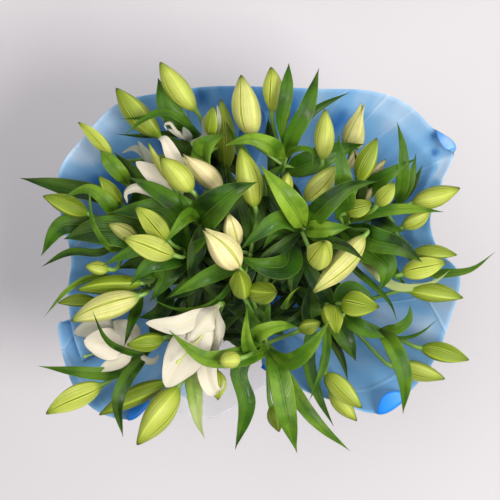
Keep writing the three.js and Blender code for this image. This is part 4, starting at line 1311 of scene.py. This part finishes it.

# %% [markdown]
# ## The wrap
# The bunch is wrapped in frosted film, gathered at the tie and flaring in a bowl of shallow
# folds. The finish paints light on its rim and deep blue shade in its creases. It reads four
# values from the sheet's points: the painted light and shade, from -1 for painted shade in a
# crease to 1 for painted light on a lit edge; `inner`, up to 1 where a curled edge shows the
# brighter side of the film; and `turn` and `rise`, the place round the bunch and on the way
# up, which lay its painted streaks and its flat facets, lit and shaded by turns.

# %% Film finish
# The film's colour comes as a lit, a mid and a shaded copy, painted light and painted shade,
# picked by the painted light value. The vivid colour is the brighter side of the film where an
# edge curls.
def film_look(name, light, mid, shaded_tint, vivid, clear=1.0):
    material, tree, shader = look(name)
    glow, inner, turn, rise = (attribute(tree, n) for n in ("glow", "inner", "turn", "rise"))
    spot = add(tree, "ShaderNodeCombineXYZ", {0: turn * 7.0, 1: rise * 2.5}).outputs[0]
    streak = add(tree, "ShaderNodeTexNoise", {"Vector": spot, "Scale": 1.0, "Detail": 3.0})
    spot = add(tree, "ShaderNodeCombineXYZ", {0: turn * 3.2, 1: rise * 1.9 + turn * 0.7})
    facets = {"Vector": spot.outputs[0], "Scale": 1.0}
    cells = add(tree, "ShaderNodeTexVoronoi", facets)
    painted_facet_light = add(tree, "ShaderNodeSeparateColor", {0: cells.outputs["Color"]}).outputs[0]
    border = add(tree, "ShaderNodeTexVoronoi", facets, feature="DISTANCE_TO_EDGE")
    crease = 1.0 - Field(tree, border.outputs["Distance"]).between(0.0, 0.025)
    # Painted light and shade: streaks, a mottle, flat facets lit and shaded by turns, and lighter
    # lines on the creases.
    glow = glow + (Field(tree, streak.outputs["Fac"]) - 0.5) * 1.6
    glow = glow + (mottle(tree, 9.0, 0.3, 0.7) - 0.5) * 0.4
    glow = glow + (Field(tree, painted_facet_light) - 0.5) * 0.7 + crease * 0.2
    tint = layered(
        tree, shaded_tint, (glow.between(-1.1, 0.1), mid), (glow.between(0.0, 1.1), light),
        (inner.between(0.3, 0.7), vivid),
    )
    place = add(tree, "ShaderNodeTexCoord").outputs["Object"]
    grain = add(tree, "ShaderNodeTexNoise", {"Vector": place, "Scale": 900.0, "Detail": 1.0})
    relief = Field(tree, grain.outputs["Fac"]) * 0.05 + crease
    dress(tree, shader, tint, mottle(tree, 30.0) * 0.12 + 0.34, relief, 0.002, 0.35, Alpha=clear)
    return material if clear < 1 else let_light_through(material, tree, shader, tint, 0.3)


film_blue = film_look(
    "wrap_film_blue", (194, 217, 238), (128, 182, 223), (56, 118, 184), (30, 144, 244))
film_pale = film_look(
    "wrap_film_pale", (250, 249, 252), (242, 240, 248), (214, 212, 234), (236, 238, 250), 0.15)
print(film_blue.name, film_pale.name)

# %% [markdown]
# A curl has its place in the view, half its length along the rim, how far the film goes on
# past the rim there, the radius of its roll, and whether it fades towards one end. A patch
# of painted light or painted shade has its place and spread in the view, where a unit is
# 1.54 mm at the film's height, and its strength, which is under 0 for painted shade.

# %% Where the film curls and where light lies on it
CURLS = {
    "wrap_sheet_main": [
        ((444, 141), 0.024, 0.032, 0.006, 1), ((391, 404), 0.027, 0.039, 0.0058, 0),
        ((268, 368), 0.016, 0.014, 0.0035, 0),
    ],
    "wrap_sheet_left": [((135, 414), 0.024, 0.030, 0.005, 0)],
    "wrap_sheet_pale": [((222, 411), 0.030, 0.010, 0.003, 0)],
}
# Patches of painted light, over 0, and of painted shade, under 0.
PATCHES = [
    (80, 150, 20, 1.0), (108, 118, 18, 0.3), (66, 185, 20, -0.4), (98, 182, 14, -0.9),
    (410, 125, 40, 0.3), (330, 100, 26, 0.2), (446, 170, 12, 2.6), (225, 104, 34, -1.0),
    (150, 125, 24, -0.5), (288, 108, 16, -0.9), (345, 116, 12, -0.9), (330, 128, 12, -0.7),
    (120, 170, 30, -0.6), (160, 200, 45, -1.0), (110, 300, 30, -0.4), (140, 330, 30, 0.1),
    (300, 345, 22, 0.5), (354, 276, 16, 3.0), (160, 291, 18, 3.6), (380, 345, 26, 0.4),
    (440, 300, 24, 0.3), (90, 385, 24, -0.3), (445, 142, 8, 1.2), (330, 385, 30, 0.1),
    (420, 200, 30, -0.2), (433, 136, 5, -1.0), (435, 152, 5, -1.2), (436, 168, 5, -1.2),
    (427, 150, 9, 0.5), (184, 390, 9, 3.0), (160, 306, 14, 2.6), (300, 322, 10, 0.8),
    (345, 345, 10, 0.8), (385, 320, 14, 0.6), (425, 330, 12, 0.5), (375, 120, 18, 0.1),
    (200, 95, 8, -0.7),
]
PATCH_HEIGHT, CURL_HEIGHT = 500, 510
VIEW_UNIT = 0.00154


def painted_light_at(points):
    """Painted light and shade on the film at each point, from the patches, seen from over it."""
    glow = np.zeros(points.shape[:-1])
    for u, v, spread, strength in PATCHES:
        middle = at((u, v, PATCH_HEIGHT))
        far = np.hypot(points[..., 0] - middle[0], points[..., 1] - middle[1])
        glow += strength * np.exp(-((far / (spread * VIEW_UNIT)) ** 2))
    return glow


print("curls:", sum(len(c) for c in CURLS.values()), "light patches:", len(PATCHES))

# %% [markdown]
# A grid is laid from the neck to the rim, each column along one line of the gathers. Its
# folds are sines of the angle whose phases drift, so that no two are alike. Past the rim,
# a few more rows carry the film on round a small roll and back over itself. Solidify then
# gives the film its thickness.

# %% The film's folds and its curled edge
FILM_NECK, FILM_START, FILM_LEAVE, FILM_LAYER = 0.0276, 0.283, 0.295, 0.0013
FILM_PLEATS, FILM_PLEAT_DEPTH, FILM_BOWL, FILM_ROWS = 9, 0.005, 1.12, 56
WIDE_FOLD, FINE_FOLD, RIM_RIDGE, SWAY = 0.0034, 0.0008, 0.004, 0.0012
CURL_ROWS, HEM, HEM_ROLL, SKEWED_INNER = 10, 0.0012, 0.002, 0.48


def gathers(angle, share):
    """The height that the film's folds add."""
    wide = np.sin(13 * angle + 1.6 * np.sin(3 * angle))
    wide = wide + 0.6 * np.sin(31 * angle + 2 * np.sin(5 * angle))
    fine = np.sin(57 * angle + 3 * np.sin(4 * angle))
    belly = np.sin(math.pi * share**0.8)
    ridge = np.exp(-(((share - 0.9) / 0.025) ** 2)) * np.exp(-(((angle - 0.45) / 0.5) ** 2))
    sway = np.sin(8 * share + 5 * angle) * share
    return (wide * WIDE_FOLD + fine * FINE_FOLD) * belly + ridge * RIM_RIDGE + sway * SWAY


def film_wall(rim, layer):
    """Rows of points from the neck to the rim, how far up each is, and the columns' angles."""
    angle = np.unwrap(np.arctan2(rim[:, 1], rim[:, 0]))
    span = np.hypot(rim[:, 0], rim[:, 1])
    shares = np.r_[0, np.linspace(0, 1, FILM_ROWS)]
    rows = []
    for share in shares:
        radius = FILM_NECK + (span - FILM_NECK) * share + layer * FILM_LAYER
        z = FILM_LEAVE + (rim[:, 2] - FILM_LEAVE) * share**FILM_BOWL
        z = z + FILM_PLEAT_DEPTH * share * np.sin(FILM_PLEATS * angle)
        z = z - layer * FILM_LAYER * share + gathers(angle, share)
        rows.append(np.stack([radius * np.cos(angle), radius * np.sin(angle), z], axis=1))
    rows[0][:, 2] = FILM_START
    return np.array(rows), shares, angle


def curled(rim, out, reach, radius, q):
    """The edge carried on a share q past the rim, up round a roll and back over the film."""
    far = reach * q
    turn = np.minimum(far / radius, math.pi)
    back = np.maximum(far - math.pi * radius, 0)
    spot = rim + out * (radius * np.sin(turn) - back)[:, None]
    spot[:, 2] += radius * (1 - np.cos(turn))
    return spot, turn > math.pi / 2


def curled_edge(edge, length, curls):
    """The rows of points past the rim, and how much of the inner side they show."""
    columns = len(edge)
    way = np.gradient(edge, axis=0)
    out = unit(np.stack([way[:, 1], -way[:, 0], np.zeros(columns)], axis=1))
    out *= np.sign((out[:, :2] * edge[:, :2]).sum(1))[:, None]
    reach, roll, strong = (np.full(columns, value) for value in (HEM, HEM_ROLL, 1.0))
    for (u, v), half, far, radius, skew in curls:
        middle = at((u, v, CURL_HEIGHT))
        nearest = np.argmin(np.hypot(*(edge[:, :2] - middle[:2]).T))
        run = (np.arange(columns) - nearest) * length / (columns - 1)
        window = np.sqrt(np.clip(1 - (run / half) ** 2, 0, 1))
        if skew:
            window *= np.clip(0.5 - run / half / 2, 0, 1) ** 0.5 * 1.2
            strong[window > 0] = SKEWED_INNER
        reach, roll = reach + far * window, roll + (radius - HEM_ROLL) * window
    steps = np.linspace(0, 1, CURL_ROWS + 1)[1:]
    spots, over = zip(*(curled(edge, out, reach, roll, q) for q in steps))
    return np.array(spots), np.array(over) * strong


print("rows of a sheet:", 1 + FILM_ROWS + CURL_ROWS)

# %% Sheets as pieces
RIM_POINTS, FILM_STEP, FILM_THICKNESS = 400, 0.005, 0.0004
# A slight painted shade all over, painted light on the rim, and deeper painted shade towards the
# neck.
PLAIN_PAINTED_LIGHT, RIM_PAINTED_LIGHT, NECK_SHADE = -0.2, 0.45, 1.2


def thicken(piece, thickness):
    """Gives a thin sheet its two sides, and leaves a plain mesh."""
    solid = piece.modifiers.new("thickness", "SOLIDIFY")
    solid.thickness, solid.offset = thickness, 0.0
    depsgraph = bpy.context.evaluated_depsgraph_get()
    mesh = bpy.data.meshes.new_from_object(piece.evaluated_get(depsgraph), depsgraph=depsgraph)
    piece.modifiers.clear()
    piece.data = mesh
    return piece


def sheet_piece(name, points, values, finish, thickness):
    """A grid of points, in rows, as a thin sheet that keeps values on its points."""
    rows, columns = points.shape[:2]
    index = np.arange(rows * columns).reshape(rows, columns)
    corners = [index[:-1, :-1], index[:-1, 1:], index[1:, 1:], index[1:, :-1]]
    faces = np.stack(corners, axis=-1).reshape(-1, 4)
    mesh = bpy.data.meshes.new(name)
    mesh.from_pydata(points.reshape(-1, 3).tolist(), [], faces.tolist())
    for key, value in values.items():
        write_values(mesh, {key: np.broadcast_to(value, (rows, columns)).ravel()})
    mesh.polygons.foreach_set("use_smooth", [True] * len(faces))
    mesh.materials.append(finish)
    return thicken(link_piece(bpy.data.objects.new(name, mesh)), thickness)


def film_sheet(name, layer, edge, finish):
    rim = smooth_path([at(p) for p in edge], RIM_POINTS)
    length = length_of(rim)
    wall, share, angle = film_wall(evenly(rim, round(length / FILM_STEP)), layer)
    edge_rows, shown = curled_edge(wall[-1], length, CURLS[name])
    points = np.concatenate([wall, edge_rows])
    share = np.r_[share, np.ones(CURL_ROWS)][:, None]
    # Painted light on the rim, painted shade towards the neck, and the painted patches of light
    # and shade.
    glow = PLAIN_PAINTED_LIGHT + RIM_PAINTED_LIGHT * np.clip((share - 0.55) / 0.45, 0, 1) ** 2 + painted_light_at(points)
    glow -= NECK_SHADE * np.clip((0.45 - share) / 0.3, 0, 1)
    inner = np.concatenate([np.zeros(wall.shape[:2]), shown])
    values = {"rise": share, "turn": angle, "glow": glow, "inner": inner}
    return sheet_piece(name, points, values, finish, FILM_THICKNESS)


for name, (layer, edge) in SHEETS.items():
    slot = "film_pale" if name.endswith("pale") else "film_blue"
    piece = film_sheet(name, layer, edge, film_pale if slot == "film_pale" else film_blue)
    piece.name = f"film_{name[11:]}"
    area = sum(p.area for p in piece.data.polygons) / 2
    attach(piece, "root")
    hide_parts(name)
    print(piece.name, len(piece.data.polygons), "faces, area", round(area, 4))

# %% [markdown]
# ## The vase, its water and the tie
# A thrown vase is a profile turned round an axis, so one tree turns any profile: it bends a
# flat grid into rings, reads each ring's radius and height from the profile line, and merges
# the seam and the two poles. The profile runs from the middle of the foot up the outside,
# over the rim and down the inside, so the wall is one closed skin.

# %% A profile turned round the axis
SEAM_GAP = 0.00001


def turned_tree():
    tree, given = new_tree(
        "Profile turned round the axis", Steps_Around=97, Steps_Along=160, Look="look")
    grid = add(tree, "GeometryNodeMeshGrid", {
        "Size X": 1.0, "Size Y": 1.0,
        "Vertices X": given.outputs["Steps Around"], "Vertices Y": given.outputs["Steps Along"],
    })
    place = Field(tree, add(tree, "GeometryNodeInputPosition").outputs[0])
    turn = (place.part(0) + 0.5) * TURN
    sample = add(
        tree, "GeometryNodeSampleCurve", {"Curves": rail_path(tree, given)}, mode="FACTOR")
    feed(tree, place.part(1) + 0.5, sample.inputs["Factor"])
    on_profile = Field(tree, sample.outputs["Position"])
    radius, height = on_profile.part(0), on_profile.part(2)
    spot = add(
        tree, "ShaderNodeCombineXYZ", {0: radius * turn.cos(), 1: radius * turn.sin(), 2: height})
    feeds = {"Geometry": grid.outputs["Mesh"], "Position": spot.outputs[0]}
    feeds = {
        "Geometry": add(tree, "GeometryNodeSetPosition", feeds).outputs[0], "Distance": SEAM_GAP}
    closed = add(tree, "GeometryNodeMergeByDistance", feeds)
    return finish_tree(tree, closed.outputs[0], given.outputs["Look"])


turned = turned_tree()
print("turned tree", len(turned.nodes), "nodes")

# %% Vase finish
def vase_look():
    material, tree, shader = look("cream_glaze")
    place = add(tree, "ShaderNodeTexCoord").outputs["Object"]
    height = Field(tree, place).part(2)
    specks = add(tree, "ShaderNodeTexVoronoi", {"Vector": place, "Scale": 160.0})
    dots = 1.0 - Field(tree, specks.outputs["Distance"]).between(0.05, 0.16)
    bare = 1.0 - height.between(0.0025, 0.004)
    cream = layered(
        tree, (240, 237, 229),
        (mottle(tree, 14.0), (232, 227, 216)),
        (dots * mottle(tree, 60.0, 0.55, 0.6) * 0.55, (168, 150, 124)),
        (bare, (206, 190, 164)),
    )
    rings = (height * 900.0 + mottle(tree, 20.0) * 3.0).sin()
    dress(
        tree, shader, cream, bare * 0.6 + 0.14, rings * 0.5 + mottle(tree, 45.0), 0.0004, 0.35,
        Coat_Weight=0.35, Coat_Roughness=0.08,
    )
    return material


vase_glaze = vase_look()
print(vase_glaze.name)

# %% Vase
VASE_OUTLINE = [(0, 56), (40, 64), (125, 73), (205, 63), (255, 68)]
VASE_WALL, VASE_FLOOR, VASE_FILLET = 0.005, 0.008, 0.006
LIP_HEIGHT, BELOW_LIP = 0.2525, 0.252
VASE_FOOT = [
    (0, 0, 0.0015), (0.048, 0, 0.0015), (0.0495, 0, 0), (0.0548, 0, 0), (0.0558, 0, 0.0008),
]


def arc(x, z, radius, end, count):
    """Points round (x, z) in the profile's plane, from the outer side to an end angle."""
    turns = np.linspace(0, end, count)
    return [(x + radius * math.cos(a), 0, z + radius * math.sin(a)) for a in turns]


def vase_profile():
    wall = smooth_path([(r * MM, 0, z * MM) for z, r in VASE_OUTLINE], 70)
    lip = arc(wall[-1][0] - VASE_WALL / 2, LIP_HEIGHT, VASE_WALL / 2, math.pi, 9)
    wall = wall[wall[:, 2] < BELOW_LIP]
    inside = wall[::-1] - np.array([VASE_WALL, 0, 0])
    low = VASE_FLOOR + VASE_FILLET
    inside = inside[inside[:, 2] > low]
    corner = inside[-1][0] - VASE_FILLET
    fillet = arc(corner, low, VASE_FILLET, -math.pi / 2, 7)
    return np.vstack([VASE_FOOT, wall[1:], lip, inside, fillet, [(0, 0, VASE_FLOOR)]])


vase = grow(
    "glazed_vase", rails("vase_profile", [vase_profile()]), turned, Steps_Along=260,
    Look=vase_glaze)
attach(vase, "root")
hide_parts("vase")
print(vase.name, len(vase.data.polygons), "faces")

# %% [markdown]
# The water's shape in the CAD model is right already, because it has a hole round each stem.
# It stays, and gets a clear finish with faint ripples.

# %% Water
def water_look():
    material, tree, shader = look("vase_water")
    tint = layered(tree, (232, 244, 240), (mottle(tree, 18.0), (218, 236, 230)))
    dress(
        tree, shader, tint, mottle(tree, 40.0) * 0.03 + 0.01, mottle(tree, 30.0), 0.0004, 0.3,
        Transmission_Weight=1.0, IOR=1.333,
    )
    return material


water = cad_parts["water"]
water.material_slots[0].material = water_look()
print("water keeps its CAD shape")

# %% [markdown]
# A satin ribbon holds the stems and the film. It is wound a little over three times, each
# turn lying on the last, so it is one long strip along a slowly widening spiral. Its weave
# runs along it, so the finish reads the distance along the strip and the place across it.

# %% Ribbon
RIBBON_TURNS, RIBBON_INSIDE, RIBBON_GROWTH = 3.15, 0.03172, 0.0011
RIBBON_MIDDLE, RIBBON_WIDTH, RIBBON_THICKNESS = 0.289, 0.0114, 0.00028
RIBBON_STEPS, RIBBON_COLUMNS, RIBBON_START, RIBBON_SWAY = 420, 9, 0.4, 0.0001


def ribbon_look():
    material, tree, shader = look("ribbon_satin")
    run, across = attribute(tree, "run"), attribute(tree, "across")
    warp = (across * 160.0).sin() * 0.5 + 0.5
    weft = (run * 9000.0).sin() * 0.5 + 0.5
    white = layered(
        tree, (238, 236, 240),
        (warp * 0.4 + weft * 0.3, (212, 208, 218)),
        (across.size().between(0.82, 0.92) * 0.4, (196, 190, 206)),
        (mottle(tree, 120.0) * 0.2, (216, 212, 222)),
    )
    dress(tree, shader, white, weft * 0.1 + 0.28, warp + weft, 0.0001, 0.5, Sheen_Weight=0.3)
    return material


def ribbon():
    t = np.linspace(0, 1, RIBBON_STEPS)
    across = np.linspace(-1, 1, RIBBON_COLUMNS)[:, None]
    angle = t * RIBBON_TURNS * TURN + RIBBON_START
    radius = RIBBON_INSIDE + RIBBON_GROWTH * t
    height = RIBBON_MIDDLE + across * RIBBON_WIDTH / 2 + RIBBON_SWAY * np.sin(angle * 1.7)
    spiral = np.broadcast_arrays(radius * np.cos(angle), radius * np.sin(angle), height)
    length = RIBBON_TURNS * TURN * (RIBBON_INSIDE + RIBBON_GROWTH / 2)
    return sheet_piece(
        "satin_ribbon", np.stack(spiral, axis=-1), {"run": t * length, "across": across},
        ribbon_look(), RIBBON_THICKNESS,
    ), length


piece, ribbon_length = ribbon()
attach(piece, "root")
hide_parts("tie_ribbon")
print("ribbon length", round(ribbon_length, 3))

# %% [markdown]
# ## Floor and light
# A plain pale floor carries the vase. A small key light high on the right gives the buds
# their bright sides and throws the shadow to the left, a broad one beside it softens that
# shadow's edge, a weak fill from the other side opens it, and an even grey sky fills the
# rest. Each light has its place, what it points at, its size, its power and its tint.

# %% Floor, lights and colour
FLOOR_REACH = 9
LIGHTS = {
    "key_light": ((1.5, -0.7, 3.4), (0, 0, 0.4), 1.3, 102, (1.0, 0.985, 0.955)),
    "side_light": ((2.6, 0.3, 2.5), (0, 0, 0.3), 2.6, 54, (1.0, 0.99, 0.975)),
    "fill_light": ((-1.2, 0.6, 3.2), (0, 0, 0.3), 2.6, 60, (0.97, 0.97, 1.0)),
}

floor_mesh = bpy.data.meshes.new("floor")
corners = [(x * FLOOR_REACH, y * FLOOR_REACH, 0) for x, y in ((-1, -1), (1, -1), (1, 1), (-1, 1))]
floor_mesh.from_pydata(corners, [], [(0, 1, 2, 3)])
floor = link_piece(bpy.data.objects.new("floor", floor_mesh))
floor_look, floor_tree, floor_shader = look("floor_pale")
pale = layered(floor_tree, (195, 191, 193), (mottle(floor_tree, 2.0) * 0.4, (190, 186, 189)))
feed(floor_tree, pale, floor_shader.inputs["Base Color"])
floor_shader.inputs["Roughness"].default_value = 0.75
floor_mesh.materials.append(floor_look)

for name, (place, aim, size, power, tint) in LIGHTS.items():
    data = bpy.data.lights.new(name, "AREA")
    data.shape, data.size, data.energy, data.color = "DISK", size, power, tint
    light = link_piece(bpy.data.objects.new(name, data))
    light.location = place
    light.rotation_mode = "QUATERNION"
    way = Vector([a - p for a, p in zip(aim, place)])
    light.rotation_quaternion = way.to_track_quat("-Z", "Y")

world = bpy.data.worlds.new("soft_sky")
world.use_nodes = True
sky = world.node_tree.nodes["Background"]
sky.inputs["Color"].default_value = (0.92, 0.91, 0.9, 1)
sky.inputs["Strength"].default_value = 0.31
bpy.context.scene.world = world
bpy.context.scene.view_settings.view_transform = "Standard"
print("lights:", *LIGHTS)
